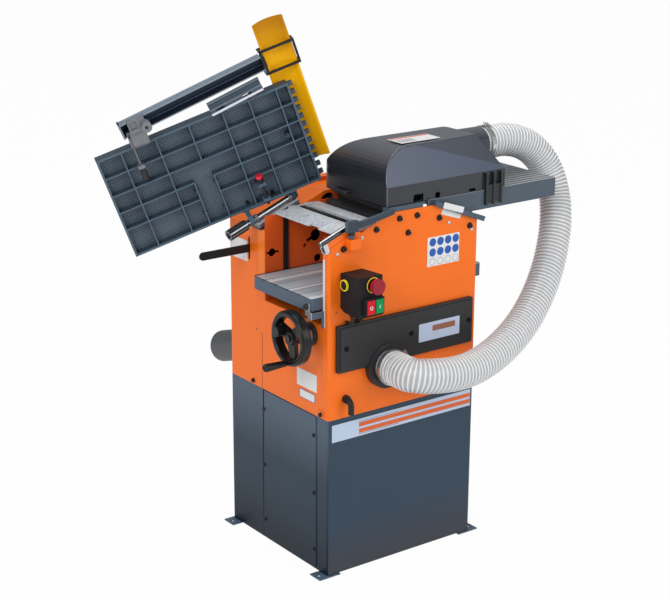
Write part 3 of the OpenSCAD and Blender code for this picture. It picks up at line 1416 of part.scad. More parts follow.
// Mode knob on the left face of the switch box
module mode_knob() {
    face = box_x - box_w_back / 2 - 2;
    color([0.9, 0.8, 0.05]) {
        rod_x(y0 - 24, box_z + 24, face - 6, face - 1, 15);
        rod_x(y0 - 24, box_z + 24, face - 2, face + 12, 6);
    }
}

// Clamp lever of the near way: post in the boss, head and a long flat arm on the sloped edge
module clamp_lever() {
    post_top = boss_z + 19;
    color([0.27, 0.34, 0.4]) {
        translate([boss_x, boss_y, boss_z - 22]) cylinder(h = post_top - boss_z + 24, r = 5);
        translate([boss_x - 18, y0 - 20, post_top]) linear_extrude(28) round_rect([0, 0], [36, 17], 5);
        along_y(y0 - 16, y0 - 5) polygon([
            [boss_x + 12, post_top + 4], [ridge_front - 4, ridge_h],
            [ridge_front - 2, ridge_h + 13], [boss_x + 12, post_top + 20]
        ]);
        translate([boss_x, boss_y, boss_z + 2]) cylinder(h = 8, r = 8);
    }
    color([0.05, 0.05, 0.055]) translate([boss_x, boss_y, boss_z + 10 - eps])
        cylinder(h = post_top - boss_z - 10 + 2 * eps, r = 9);
}

// Anti-kickback fingers on one cross bar
finger_x = (cutter_x - 170 + cutter_x - 136) / 2;
finger_z = wall_top + 7;
module kickback_fingers() {
    w = 8;
    span = passage_w - 22;
    color([0.2, 0.2, 0.21]) {
        rod_y(finger_x, finger_z, passage_near + 2, passage_far - 2, 4);
        for (i = [0:finger_count - 1]) {
            yc = passage_near + 11 + (i + 0.5) * span / finger_count;
            along_y(yc - w / 2, yc + w / 2) difference() {
                polygon([
                    [finger_x - 7, finger_z + 8], [finger_x + 6, finger_z + 8], [finger_x + 9, finger_z - 5],
                    [finger_x + 3, finger_z - 19], [finger_x - 4, finger_z - 16]
                ]);
            }
        }
    }
}

// Knurled grip of the depth adjuster, at the low end of the hinge rod
module depth_grip() {
    color([0.1, 0.1, 0.11]) on_rod(-163) difference() {
        union() {
            cylinder(h = 58, r = 15);
            translate([0, 0, 57]) cylinder(h = 5, r = 12);
        }
        for (a = [0:20:340]) rotate(a) translate([15, 0, -1]) cylinder(h = 52, r = 1.4, $fn = 8);
        translate([0, 0, -1]) cylinder(h = 14, r = 9);
        translate([0, 0, 30]) cylinder(h = 40, r = 6 + fit);
    }
}

base_cabinet();
floor_brackets();
access_panel();
panel_screws();
near_side_panel();
drive_housing();
end_panels();
passage_walls();
table_guides();
bridge_plates();
cutter_bearings();
near_rail();
hinge_bracket();
rear_rail();
outfeed_table();
chip_hood();
hose_clamps();
hose();
fan_cover();
fan_housing();
outlet_spigot();
motor();
drive_belts();
lift_bracket();
wheel_bearing();
switch_box();
switch_cables();
mains_inlet();
feed_gearbox();
feed_output();
infeed_table();
table_rail();
fence_bracket();
clamp_rod();
fence();
guard_holder();
bridge_guard();
latch_pin();
thickness_table();
lift_screws();
near_lift_nut();
far_lift_nut();
handwheel();
wheel_shaft();
crank_handle();
wheel_lock_knob();
cutter_block();
cutter_knives();
infeed_roller();
outfeed_roller();
motor_rotor();
fan_impeller();
feed_lever();
estop_button();
stop_button();
start_button();
mode_knob();
clamp_lever();
kickback_fingers();
depth_grip();
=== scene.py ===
import math
import bmesh
import bpy
from mathutils import Matrix, Vector


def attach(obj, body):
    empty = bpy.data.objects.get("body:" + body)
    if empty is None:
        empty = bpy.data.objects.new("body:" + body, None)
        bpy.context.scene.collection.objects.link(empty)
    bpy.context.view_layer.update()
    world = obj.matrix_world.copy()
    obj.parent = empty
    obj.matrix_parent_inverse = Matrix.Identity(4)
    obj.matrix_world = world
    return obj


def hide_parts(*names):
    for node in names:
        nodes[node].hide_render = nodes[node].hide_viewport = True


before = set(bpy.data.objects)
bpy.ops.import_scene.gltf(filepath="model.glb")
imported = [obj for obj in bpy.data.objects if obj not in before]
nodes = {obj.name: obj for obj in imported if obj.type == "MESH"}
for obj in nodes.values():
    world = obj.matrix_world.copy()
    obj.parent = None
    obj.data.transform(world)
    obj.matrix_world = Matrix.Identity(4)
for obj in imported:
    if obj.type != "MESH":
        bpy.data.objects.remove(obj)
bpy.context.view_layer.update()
scene = bpy.context.scene

# Stand
# The stand is bent sheet steel in a fine dark blue-grey powder coat, with a removable panel on the
# infeed end that shows as a thin dark seam. Its two bent feet are bolted to the floor.
def node(tree, kind, inputs=None, **settings):
    made = tree.nodes.new(kind)
    for key, value in settings.items():
        setattr(made, key, value)
    for key, value in (inputs or {}).items():
        if isinstance(value, bpy.types.NodeSocket):
            tree.links.new(value, made.inputs[key])
        else:
            made.inputs[key].default_value = value
    return made


# A finish has broad patches of tone and sheen, a fine grain and softened edges.
def new_finish(name, colour, rough, metal=0.0, grain=600.0, depth=0.06, mottle=0.06, patch=9.0,
               edge=0.0008, gloss=0.0, spread=0.08, spec=0.4):
    grain_h, gloss_rough = 0.0005, 0.18
    mat = bpy.data.materials.new(name)
    mat.use_nodes = True
    tree = mat.node_tree
    tree.nodes.clear()
    place = node(tree, "ShaderNodeTexCoord", name="place").outputs["Object"]
    wide = node(tree, "ShaderNodeTexNoise", {"Vector": place, "Scale": patch, "Detail": 5.0}).outputs["Fac"]
    fine = node(tree, "ShaderNodeTexNoise", {"Vector": place, "Scale": grain, "Detail": 3.0}).outputs["Fac"]
    darker, lighter = [(*[min(1.0, c * (1.0 + m)) for c in colour], 1.0) for m in (-mottle, mottle)]
    tone = node(tree, "ShaderNodeMix", {"Factor": wide, "A": darker, "B": lighter}, data_type="RGBA")
    sheen = node(tree, "ShaderNodeMapRange", {
        "Value": wide, "To Min": max(0.02, rough - spread), "To Max": min(1.0, rough + spread)})
    soft = node(tree, "ShaderNodeBevel", {"Radius": edge}, samples=4)
    bump = node(tree, "ShaderNodeBump", {
        "Strength": depth, "Distance": grain_h, "Height": fine, "Normal": soft.outputs["Normal"]},
        name="bump")
    shader = node(tree, "ShaderNodeBsdfPrincipled", {
        "Base Color": tone.outputs["Result"], "Roughness": sheen.outputs["Result"], "Metallic": metal,
        "Normal": bump.outputs["Normal"], "Coat Weight": gloss, "Coat Roughness": gloss_rough,
        "Specular IOR Level": spec}, name="shader")
    node(tree, "ShaderNodeOutputMaterial", {"Surface": shader.outputs["BSDF"]})
    return mat, tree


def maths(tree, kind, *values):
    return node(tree, "ShaderNodeMath", dict(enumerate(values)), operation=kind).outputs[0]


def both(tree, *masks):
    out = masks[0]
    for mask in masks[1:]:
        out = maths(tree, "MULTIPLY", out, mask)
    return out


def above(tree, value, limit):
    return maths(tree, "GREATER_THAN", value, limit)


def below(tree, value, limit):
    return maths(tree, "LESS_THAN", value, limit)


def between(tree, value, low, high):
    return both(tree, above(tree, value, low), below(tree, value, high))


def rising(tree, value, low, high):
    ramp = node(tree, "ShaderNodeMapRange", {"Value": value, "From Min": low, "From Max": high})
    return ramp.outputs["Result"]


# A mask is written in the piece's own directions: its origin and its axes as rows.
def in_axes(tree, origin=(0, 0, 0), axes=None):
    turn = Matrix(axes) if axes else Matrix.Identity(3)
    moved = node(tree, "ShaderNodeMapping", {
        "Vector": tree.nodes["place"].outputs["Object"], "Rotation": turn.to_euler("XYZ"),
        "Location": -(turn @ Vector(origin))})
    parts = node(tree, "ShaderNodeSeparateXYZ", {"Vector": moved.outputs["Vector"]}).outputs
    return parts["X"], parts["Y"], parts["Z"]


def face_normal(tree):
    seen = node(tree, "ShaderNodeNewGeometry").outputs["True Normal"]
    return node(tree, "ShaderNodeSeparateXYZ", {"Vector": seen}).outputs


# A second finish lies over the first where its mask is 1.
def lay_over(tree, mask, colour=None, rough=None, metal=None):
    shader = tree.nodes["shader"]
    if colour is not None:
        below_it = shader.inputs["Base Color"].links[0].from_socket
        mix = node(tree, "ShaderNodeMix", {"Factor": mask, "A": below_it, "B": (*colour, 1.0)},
                   data_type="RGBA")
        tree.links.new(mix.outputs["Result"], shader.inputs["Base Color"])
    for name, value in (("Roughness", rough), ("Metallic", metal)):
        if value is None:
            continue
        socket = shader.inputs[name]
        below_it = socket.links[0].from_socket if socket.is_linked else socket.default_value
        mix = node(tree, "ShaderNodeMix", {"Factor": mask, "A": below_it, "B": value})
        tree.links.new(mix.outputs["Result"], socket)


def dress(mat, *names):
    for name in names:
        o = nodes[name]
        if not o.material_slots:
            o.data.materials.append(mat)
        for s in o.material_slots:
            s.material = mat


cabinet_mat, coat = new_finish("cabinet_coat", (0.033, 0.059, 0.093), 0.42, grain=900, depth=0.10,
                               mottle=0.07, edge=0.0012, spec=0.22)
y, z = in_axes(coat)[1:]
infeed_end = below(coat, face_normal(coat)["X"], -0.7)
switch_side = below(coat, face_normal(coat)["Y"], -0.7)
# Painted light from the pale floor: the switch side is painted paler and greyer towards the floor.
lay_over(coat, both(coat, switch_side, rising(coat, z, 0.150, 0.010)), (0.052, 0.056, 0.070), 0.45)
# Painted shade: the infeed end is painted darker than the switch side, lighter higher up and darkest near the
# floor.
lay_over(coat, infeed_end, (0.020, 0.042, 0.068), 0.42)
lay_over(coat, both(coat, infeed_end, rising(coat, z, 0.260, 0.420)), (0.078, 0.112, 0.160), 0.38)
lay_over(coat, both(coat, infeed_end, rising(coat, z, 0.200, 0.020)), (0.003, 0.012, 0.026), 0.45)
stand_seam_y, stand_seam_lean = 0.0721, 0.0158
seam = maths(coat, "MULTIPLY_ADD", z, stand_seam_lean, maths(coat, "SUBTRACT", y, stand_seam_y))
lay_over(coat, both(coat, infeed_end, between(coat, seam, -0.0020, 0.0042)), (0.001, 0.002, 0.003), 0.6)
dress(cabinet_mat, "base_cabinet", "access_panel")
dress(new_finish("bracket_coat", (0.095, 0.145, 0.205), 0.45, grain=900, depth=0.1)[0], "floor_brackets")

# Body sheets
# The body and the drive housing are folded sheet in a satin orange powder coat, with a joint line on
# the infeed end and a painted highlight strip beside it. The walls of the passage have the same coat,
# painted darker as their shade.
body_end_x, body_side_y = -0.2475, -0.2310
body_mat, coat = new_finish("body_coat", (0.95, 0.172, 0.008), 0.36, grain=900, depth=0.07, mottle=0.05,
                            edge=0.0015, spec=0.28)
x, y, z = in_axes(coat)
on_end = below(coat, x, body_end_x + 0.0005)
joint_y, joint_w, joint_foot_z, fold_foot_z = 0.0900, 0.0015, 0.704, 0.740
# Painted highlight: a lighter orange strip on the infeed end beside the joint, where the sheet folds.
fold_highlight = both(coat, on_end, between(coat, y, 0.0572, joint_y), above(coat, z, fold_foot_z))
lay_over(coat, fold_highlight, (0.98, 0.215, 0.016))
joint = both(coat, on_end, between(coat, y, joint_y, joint_y + joint_w), above(coat, z, joint_foot_z))
lay_over(coat, joint, (0.45, 0.060, 0.004))
body_seam_y, body_seam_lean = 0.0848, 0.0224
seam = maths(coat, "MULTIPLY_ADD", z, body_seam_lean, maths(coat, "SUBTRACT", y, body_seam_y))
lower_joint = both(coat, on_end, between(coat, seam, -0.0012, 0.0012), between(coat, z, 0.4300, 0.6080))
lay_over(coat, lower_joint, (0.30, 0.040, 0.003), 0.5)
dress(body_mat, "near_side_panel", "drive_housing", "end_panels")
# The passage walls get a darker copy of the orange coat as painted shade.
dress(new_finish("wall_coat_painted_shade", (0.78, 0.105, 0.012), 0.42, grain=900, depth=0.07, mottle=0.05)[0],
      "passage_walls")

# Screws, guides and fingers
# Blackened screws hold the sheets, and the guides, the lift's bracket and the kickback fingers have
# the same finish. Between the dark bolts sit four small zinc screws with dished heads.
black_mat = new_finish("blackened_steel", (0.022, 0.022, 0.024), 0.34, metal=0.35, grain=500, depth=0.1,
                       edge=0.0006)[0]
dress(black_mat, "panel_screws", "table_guides", "lift_bracket", "kickback_fingers")


# A made piece gets its faces turned outwards, its shading and its body.
def fit(name, mesh, body, smooth):
    bm = bmesh.new()
    bm.from_mesh(mesh)
    bmesh.ops.recalc_face_normals(bm, faces=bm.faces)
    bm.to_mesh(mesh)
    bm.free()
    for poly in mesh.polygons:
        poly.use_smooth = smooth
    o = bpy.data.objects.new(name, mesh)
    scene.collection.objects.link(o)
    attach(o, body)
    return o


# Geometry Nodes sweep a piece from a line of points, and the result becomes a plain mesh.
def swept(name, tree, points, closed, mat, **values):
    mesh = bpy.data.meshes.new(name)
    edges = [(i, i + 1) for i in range(len(points) - 1)]
    mesh.from_pydata(points, edges + ([(len(points) - 1, 0)] if closed else []), [])
    guide = bpy.data.objects.new(name + "_guide", mesh)
    scene.collection.objects.link(guide)
    sweep = guide.modifiers.new("sweep", "NODES")
    sweep.node_group = tree
    values["Finish"] = mat
    for socket in tree.interface.items_tree:
        if socket.name in values:
            sweep[socket.identifier] = values[socket.name]
    ready = guide.evaluated_get(bpy.context.evaluated_depsgraph_get())
    made = bpy.data.meshes.new_from_object(ready)
    made.name = name
    made.materials.clear()
    made.materials.append(mat)
    for poly in made.polygons:
        poly.material_index = 0
    bpy.data.objects.remove(guide)
    return made


def new_tree(name, result, **inputs):
    tree = bpy.data.node_groups.new(name, "GeometryNodeTree")
    for key, kind in inputs.items():
        tree.interface.new_socket(key, in_out="INPUT", socket_type="NodeSocket" + kind)
    tree.interface.new_socket(result, in_out="OUTPUT", socket_type="NodeSocketGeometry")
    return tree, tree.nodes.new("NodeGroupInput").outputs


def keep(tree, geometry, **fields):
    held = node(tree, "GeometryNodeCaptureAttribute", domain="POINT")
    for name, (kind, _) in fields.items():
        held.capture_items.new(kind, name)
    tree.links.new(geometry, held.inputs["Geometry"])
    for name, (_, field) in fields.items():
        tree.links.new(field, held.inputs[name])
    return held.outputs


def scaled(tree, vector, amount):
    return node(tree, "ShaderNodeVectorMath", {0: vector, "Scale": amount}, operation="SCALE").outputs[0]


def vectors(tree, kind, a, b):
    return node(tree, "ShaderNodeVectorMath", {0: a, 1: b}, operation=kind).outputs[0]


# Spokes stand out square to an axis, at equal angles that are counted from the first direction.
def spoke(tree, first, second, number, count):
    angle = maths(tree, "DIVIDE", maths(tree, "MULTIPLY", number, 2 * math.pi), count)
    return vectors(tree, "ADD", scaled(tree, first, maths(tree, "COSINE", angle)),
                   scaled(tree, second, maths(tree, "SINE", angle)))


def close_tree(tree, given, geometry):
    real = node(tree, "GeometryNodeRealizeInstances", {"Geometry": geometry}).outputs["Geometry"]
    coated = node(tree, "GeometryNodeSetMaterial", {
        "Geometry": real, "Material": given["Finish"]}).outputs["Geometry"]
    node(tree, "NodeGroupOutput", {0: coated})


# A turned part is its half section, with the radius in X and the height in Z, led round an axis.
def turning_tree():
    tree, given = new_tree("turned_part", "Part", Section="Geometry", Sides="Int", Place="Vector",
                           Axis="Vector", First="Vector", Finish="Material")
    number = node(tree, "GeometryNodeInputIndex").outputs[0]
    spot = node(tree, "GeometryNodeInputPosition").outputs[0]
    section = node(tree, "GeometryNodeMeshToCurve", {"Mesh": given["Section"]}).outputs["Curve"]
    section = keep(tree, section, spot=("VECTOR", spot))
    circle = node(tree, "GeometryNodeCurvePrimitiveCircle", {"Resolution": given["Sides"]}).outputs["Curve"]
    circle = keep(tree, circle, number=("INT", number))
    round_it = node(tree, "GeometryNodeCurveToMesh", {
        "Curve": circle["Geometry"], "Profile Curve": section["Geometry"]}).outputs["Mesh"]
    out = spoke(tree, given["First"], vectors(tree, "CROSS_PRODUCT", given["Axis"], given["First"]),
                circle["number"], given["Sides"])
    half = node(tree, "ShaderNodeSeparateXYZ", {"Vector": section["spot"]}).outputs
    where = vectors(tree, "ADD", scaled(tree, out, half["X"]), scaled(tree, given["Axis"], half["Z"]))
    placed = node(tree, "GeometryNodeSetPosition", {
        "Geometry": round_it, "Position": vectors(tree, "ADD", given["Place"], where)}).outputs["Geometry"]
    close_tree(tree, given, placed)
    return tree


turned_part = turning_tree()


def turned(name, section, place, axis, mat, body, sides):
    axis = Vector(axis).normalized()
    mesh = swept(name, turned_part, [(r, 0, h) for r, h in section], True, mat, Sides=sides, Place=place,
                 Axis=axis, First=axis.orthogonal().normalized())
    return fit(name, mesh, body, False)


zinc_mat = new_finish("zinc_steel", (0.62, 0.63, 0.66), 0.3, metal=0.7, grain=500, depth=0.1, edge=0.0004)[0]
head = [(0.0004, 0.0), (0.0050, 0.0), (0.0050, 0.0012), (0.0040, 0.0030), (0.0022, 0.0038), (0.0020, 0.0026),
        (0.0004, 0.0026)]
zinc_screws_at = ((-0.2198, 0.8934), (-0.1428, 0.9242), (0.1453, 0.9208), (0.2246, 0.8907))
for k, (sx, sz) in enumerate(zinc_screws_at):
    turned("zinc_screw_" + str(k), head, (sx, body_side_y, sz), (0, -1, 0), zinc_mat, "frame",
           20)

# Lift, cutter, rollers and drive
# Inside turn ground screws in brass nuts, the machined cutter block with its knives, the rollers and
# the motor. The fan's housing, the gearbox and the bearings are painted grey; the belts are rubber.
steel = (0.66, 0.67, 0.69)
dress(new_finish("bright_steel", steel, 0.24, metal=1.0, grain=700, depth=0.08, mottle=0.05)[0],
      "lift_screws", "feed_output")
shaft_mat, coat = new_finish("shaft_steel", steel, 0.24, metal=1.0, grain=700, depth=0.08, mottle=0.05)
knob_end_x = -0.300
lay_over(coat, below(coat, in_axes(coat)[0], knob_end_x), (0.012, 0.012, 0.013), 0.4, 0.0)
dress(shaft_mat, "wheel_shaft")
# The cutter block, knives, infeed roller and rotor are machined steel painted much darker than bright steel,
# as painted shade under the hood.
dress(new_finish("machined_steel", (0.085, 0.088, 0.095), 0.38, metal=0.7, grain=500, depth=0.12)[0],
      "cutter_block", "cutter_knives", "infeed_roller", "motor_rotor")
dress(new_finish("nut_brass", (0.60, 0.46, 0.20), 0.32, metal=1.0, grain=500, depth=0.1)[0],
      "near_lift_nut", "far_lift_nut")
dress(new_finish("duct_paint", (0.075, 0.082, 0.092), 0.48, grain=500, depth=0.12)[0],
      "fan_housing", "outlet_spigot", "motor", "feed_gearbox", "cutter_bearings", "fan_impeller")
dress(new_finish("black_rubber", (0.018, 0.018, 0.019), 0.62, grain=500, depth=0.12)[0],
      "drive_belts", "switch_cables", "outfeed_roller")

# Cast covers and brackets
# The covers beside the cutter block and the brackets are die cast and lightly brushed. The dark
# hinge rod lies in its bracket with painted highlight streaks along it, and a like bar in the near channel.
def drawn_grain(tree, scale, detail):
    stretched = node(tree, "ShaderNodeMapping", {
        "Vector": tree.nodes["place"].outputs["Object"], "Scale": scale}).outputs["Vector"]
    noise = node(tree, "ShaderNodeTexNoise", {"Vector": stretched, "Scale": 1.0, "Detail": detail})
    return noise.outputs["Fac"]


def distance(tree, a, b):
    return maths(tree, "SQRT", maths(tree, "ADD", maths(tree, "POWER", a, 2.0), maths(tree, "POWER", b, 2.0)))


cast_mat, coat = new_finish("cast_aluminium", (0.57, 0.61, 0.66), 0.40, metal=0.1, grain=320, depth=0.4,
                            mottle=0.32, patch=70.0, edge=0.001, spread=0.15)
brushed = drawn_grain(coat, (240.0, 150.0, 200.0), 5.0)
lay_over(coat, both(coat, rising(coat, brushed, 0.50, 0.70), 0.55), (0.88, 0.89, 0.93), 0.3)
lay_over(coat, both(coat, rising(coat, brushed, 0.46, 0.26), 0.6), (0.22, 0.23, 0.25), 0.45)
dress(cast_mat, "bridge_plates")
dress(new_finish("bracket_cast", (0.20, 0.215, 0.24), 0.40, metal=0.4, grain=260, depth=0.3, mottle=0.3,
                 patch=40.0, edge=0.001, spread=0.12)[0], "fence_bracket")

hinge = Vector((-0.194, 0.080, 0.952))
slope = math.radians(21.5)
rod_way = Vector((math.cos(slope), 0, math.sin(slope)))
rod_axes = (rod_way, (0, 1, 0), (-math.sin(slope), 0, math.cos(slope)))
hinge_mat, coat = new_finish("hinge_bracket_cast", (0.20, 0.20, 0.21), 0.40, metal=0.5, grain=260, depth=0.03,
                             mottle=0.15, patch=22.0)
y, z = in_axes(coat, hinge, rod_axes)[1:]
hinge_rod_r, bracket_foot_z = 0.0083, -0.0235
# Painted highlight: a light strip along the lit edge of the bracket's step.
bracket_step_highlight = both(coat, between(coat, z, -0.0135, -0.0115), below(coat, y, 0.030))
lay_over(coat, bracket_step_highlight, (0.60, 0.61, 0.63), 0.4, 0.2)
# Painted shade under the bracket's foot.
lay_over(coat, below(coat, z, bracket_foot_z), (0.045, 0.046, 0.050), 0.5)
rod = below(coat, distance(coat, y, z), hinge_rod_r)
lay_over(coat, rod, (0.035, 0.036, 0.040), 0.25, 0.6)
# Painted reflection on the dark rod: a bright highlight streak above and a mid-grey band below.
lay_over(coat, both(coat, rod, between(coat, z, 0.0012, 0.0044)), (0.80, 0.82, 0.85), 0.3, 0.2)
lay_over(coat, both(coat, rod, between(coat, z, -0.0036, 0.0000)), (0.26, 0.27, 0.30), 0.3, 0.4)
dress(hinge_mat, "hinge_bracket")

channel_start = (-0.2545, -0.218, 0.905)
rail_mat, coat = new_finish("way_channel", (0.66, 0.67, 0.69), 0.32, metal=0.85, grain=260, depth=0.15,
                            mottle=0.08, patch=22.0)
x, y, z = in_axes(coat, channel_start, rod_axes)
bar_half_w, bar_foot_z, outer_wall_y = 0.0085, 0.0075, -0.0095
bar = both(coat, between(coat, y, -bar_half_w, bar_half_w), above(coat, z, bar_foot_z))
lay_over(coat, bar, (0.055, 0.058, 0.062), 0.22, 0.9)
# Painted highlight: a bright streak along the dark bar.
lay_over(coat, both(coat, bar, between(coat, y, -0.0045, -0.0010)), (0.75, 0.77, 0.80), 0.3, 0.2)
outer_wall = both(coat, below(coat, y, outer_wall_y), above(coat, x, 0.012))
lay_over(coat, outer_wall, (0.90, 0.165, 0.010), 0.4, 0.0)
dress(rail_mat, "near_rail")

# Planing tables
# Both tables are grey iron castings in dark blue-grey paint. The raised one shows its underside: the
# floor between the ribs is cross hatched, and the ribs' edges carry a painted highlight.
raising = Matrix.Rotation(math.radians(-91.0), 3, rod_way)
raised_axes = raising.transposed()


# A place on the closed table, and where it is with the table raised.
def raised(place):
    return hinge + raising @ (Vector(place) - hinge)


table_lip = (-0.054, 0.062, 0.956)
casting_mat, coat = new_finish("table_casting", (0.040, 0.066, 0.094), 0.44, metal=0.1, grain=420, depth=0.2,
                               mottle=0.25, patch=26.0, edge=0.0012, spec=0.3)
x, y, z = in_axes(coat, raised(table_lip), raised_axes)
hatch_turns = 700.0
hatch_up = maths(coat, "SINE", maths(coat, "MULTIPLY", maths(coat, "ADD", x, y), hatch_turns))
hatch_down = maths(coat, "SINE", maths(coat, "MULTIPLY", maths(coat, "SUBTRACT", x, y), hatch_turns))
hatch = both(coat, maths(coat, "ADD", hatch_up, hatch_down), 0.5)
seen = node(coat, "ShaderNodeNewGeometry").outputs["True Normal"]
flatness = node(coat, "ShaderNodeVectorMath", {0: seen, 1: raised_axes[2]}, operation="DOT_PRODUCT")
level = maths(coat, "ABSOLUTE", flatness.outputs["Value"])
rib_edge_z, bay_z = 0.0012, 0.010
bay = both(coat, above(coat, z, bay_z), above(coat, level, 0.9))
knurl = both(coat, maths(coat, "MULTIPLY_ADD", hatch, 0.5, 0.5), bay)
lay_over(coat, knurl, (0.150, 0.190, 0.235), 0.5)
# Painted highlight along the ribs' edges.
lay_over(coat, both(coat, below(coat, z, rib_edge_z), 0.8), (0.090, 0.142, 0.195), 0.34)
node(coat, "ShaderNodeBump", {"Strength": 0.35, "Distance": 0.0006, "Height": knurl,
                              "Normal": coat.nodes["bump"].outputs["Normal"]}, name="hatch_bump")
coat.links.new(coat.nodes["hatch_bump"].outputs["Normal"], coat.nodes["shader"].inputs["Normal"])
dress(casting_mat, "infeed_table")

dress(new_finish("table_paint", (0.065, 0.095, 0.130), 0.38, metal=0.15, grain=420, depth=0.15, mottle=0.10,
                 patch=16.0, edge=0.0012)[0], "rear_rail")
slide_mat, coat = new_finish("table_rail_paint", (0.055, 0.080, 0.110), 0.36, metal=0.15, grain=420,
                             depth=0.15, mottle=0.10, patch=16.0, edge=0.0012)
rail_skew = Matrix.Rotation(math.radians(5.5), 3, "Z")
y = in_axes(coat, raised((-0.120, -0.238, 0.944)), rail_skew @ raised_axes)[1]
# Painted highlights: a near-white strip along the rail's lower edge and two paler lines along its lips.
lay_over(coat, between(coat, y, -0.0062, 0.001), (0.72, 0.74, 0.78), 0.35)
lay_over(coat, between(coat, y, -0.0150, -0.0138), (0.30, 0.36, 0.42), 0.35)
lay_over(coat, between(coat, y, -0.037, -0.0335), (0.16, 0.21, 0.26), 0.35)
dress(slide_mat, "table_rail")

post_top_z = 0.9492
lever_mat, coat = new_finish("clamp_lever_paint", (0.070, 0.100, 0.135), 0.42, metal=0.1, grain=420,
                             depth=0.15, mottle=0.10, patch=16.0, edge=0.0015)
z = in_axes(coat)[2]
# Painted shade on the lever's faces towards the switch side, above the post.
shaded = both(coat, below(coat, face_normal(coat)["Y"], -0.6), above(coat, z, post_top_z))
lay_over(coat, shaded, (0.030, 0.048, 0.070), 0.45)
lay_over(coat, between(coat, z, 0.9398, post_top_z), (0.02, 0.02, 0.022), 0.5)
dress(lever_mat, "clamp_lever")

out_mat, coat = new_finish("outfeed_casting", (0.070, 0.098, 0.130), 0.40, metal=0.15, grain=420, depth=0.15,
                           mottle=0.10, patch=16.0, edge=0.001)
y, z = in_axes(coat)[1:]
table_top_z, groove_foot_z, groove_pitch, groove_start = 0.9897, 0.9870, 0.0192, 0.2212
lay_over(coat, above(coat, z, table_top_z), (0.46, 0.48, 0.50), 0.34, 0.1)
wave = maths(coat, "SINE", both(coat, maths(coat, "ADD", y, groove_start), 2 * math.pi / groove_pitch))
groove = both(coat, above(coat, z, groove_foot_z), above(coat, wave, 0.15))
lay_over(coat, both(coat, groove, 0.93), (0.030, 0.036, 0.044), 0.4)
dress(out_mat, "outfeed_table")

bolt = [(0.0004, 0.0), (0.0062, 0.0), (0.0062, 0.0040), (0.0046, 0.0046), (0.0046, 0.0110), (0.0036, 0.0125),
        (0.0004, 0.0125)]
for k, reach in enumerate((-0.206, -0.133)):
    spot = raised(table_lip) + raising @ Vector((reach, -0.0050, 0.027))
    turned("table_bolt_" + str(k), bolt, spot, -raising.col[1], black_mat, "infeed_table_body",
           16)

# Thicknessing table
# Iron table with a planed and polished top that carries broad painted highlight bands; its front apron
# is painted, and the pointer of the height scale is bare sheet steel.
thick_mat, coat = new_finish("thicknessing_table", (0.070, 0.108, 0.158), 0.42, metal=0.1, grain=420,
                             depth=0.12, mottle=0.08, patch=14.0, edge=0.0015)
x, y, z = in_axes(coat)
planing_marks = drawn_grain(coat, (4.0, 260.0, 4.0), 6.0)
top = both(coat, above(coat, face_normal(coat)["Z"], 0.9), above(coat, z, 0.74))
lay_over(coat, top, (0.30, 0.37, 0.42), 0.36, 0.1)
# Painted highlight: broad bands across the machined top, brightest at one edge of each band.
highlight_start, highlight_w = 0.068, 0.091
highlight_band = maths(coat, "FRACT", both(coat, maths(coat, "SUBTRACT", highlight_start, y), 1.0 / highlight_w))
lay_over(coat, both(coat, top, both(coat, maths(coat, "POWER", highlight_band, 0.8), 0.75)), (0.72, 0.84, 0.92), 0.3)
lay_over(coat, both(coat, top, both(coat, planing_marks, 0.45)), (0.60, 0.68, 0.75), 0.28)
lay_over(coat, both(coat, top, above(coat, highlight_band, 0.86)), (0.92, 0.95, 0.98), 0.25)
rim = maths(coat, "MAXIMUM", above(coat, y, 0.0485), below(coat, x, -0.2835))
lay_over(coat, both(coat, rim, top), (0.018, 0.028, 0.040), 0.4)
# Painted highlight on the floors of the top's grooves.
inside_rim = both(coat, between(coat, x, -0.279, 0.279), between(coat, y, -0.19, 0.045))
lay_over(coat, both(coat, inside_rim, between(coat, z, 0.7779, 0.7798)), (0.50, 0.55, 0.60), 0.3)
pointer_x, pointer_screw_x = -0.28705, -0.28905
lay_over(coat, below(coat, x, pointer_x), (0.42, 0.44, 0.47), 0.35, 0.5)
lay_over(coat, below(coat, x, pointer_screw_x), (0.03, 0.03, 0.032), 0.35, 0.3)
dress(thick_mat, "thickness_table")

# Handwheel
# The height wheel, its folding grip and its lock knob are black plastic. Behind the wheel a flange
# carries the shaft, with a narrow bright ring.
dress(new_finish("handwheel_plastic", (0.008, 0.008, 0.009), 0.34, grain=900, depth=0.08, mottle=0.1,
                 edge=0.002, spec=0.32)[0], "handwheel", "crank_handle", "wheel_lock_knob")
flange_at = (body_end_x, -0.1535, 0.667)
bearing_mat, coat = new_finish("bearing_flange", (0.03, 0.03, 0.032), 0.3, grain=900, depth=0.1, edge=0.001)
x, y, z = in_axes(coat, flange_at)
bright_ring = both(coat, between(coat, distance(coat, y, z), 0.0195, 0.0225), below(coat, x, -0.008))
lay_over(coat, bright_ring, (0.70, 0.71, 0.73), 0.25, 0.9)
dress(bearing_mat, "wheel_bearing")

# Moulded covers and levers
# The guard's holder, the feed lever and the mains inlet are black moulded plastic with a fine grain.
# The fan's cover is a little greyer.
dress(new_finish("moulded_plastic", (0.017, 0.018, 0.020), 0.36, grain=1100, depth=0.18, mottle=0.1,
                 edge=0.0015, spec=0.26)[0], "guard_holder", "feed_lever", "mains_inlet")
dress(new_finish("cover_plastic", (0.027, 0.028, 0.030), 0.38, grain=1100, depth=0.18, mottle=0.15, patch=5.0,
                 edge=0.0015, spec=0.28)[0], "fan_cover")

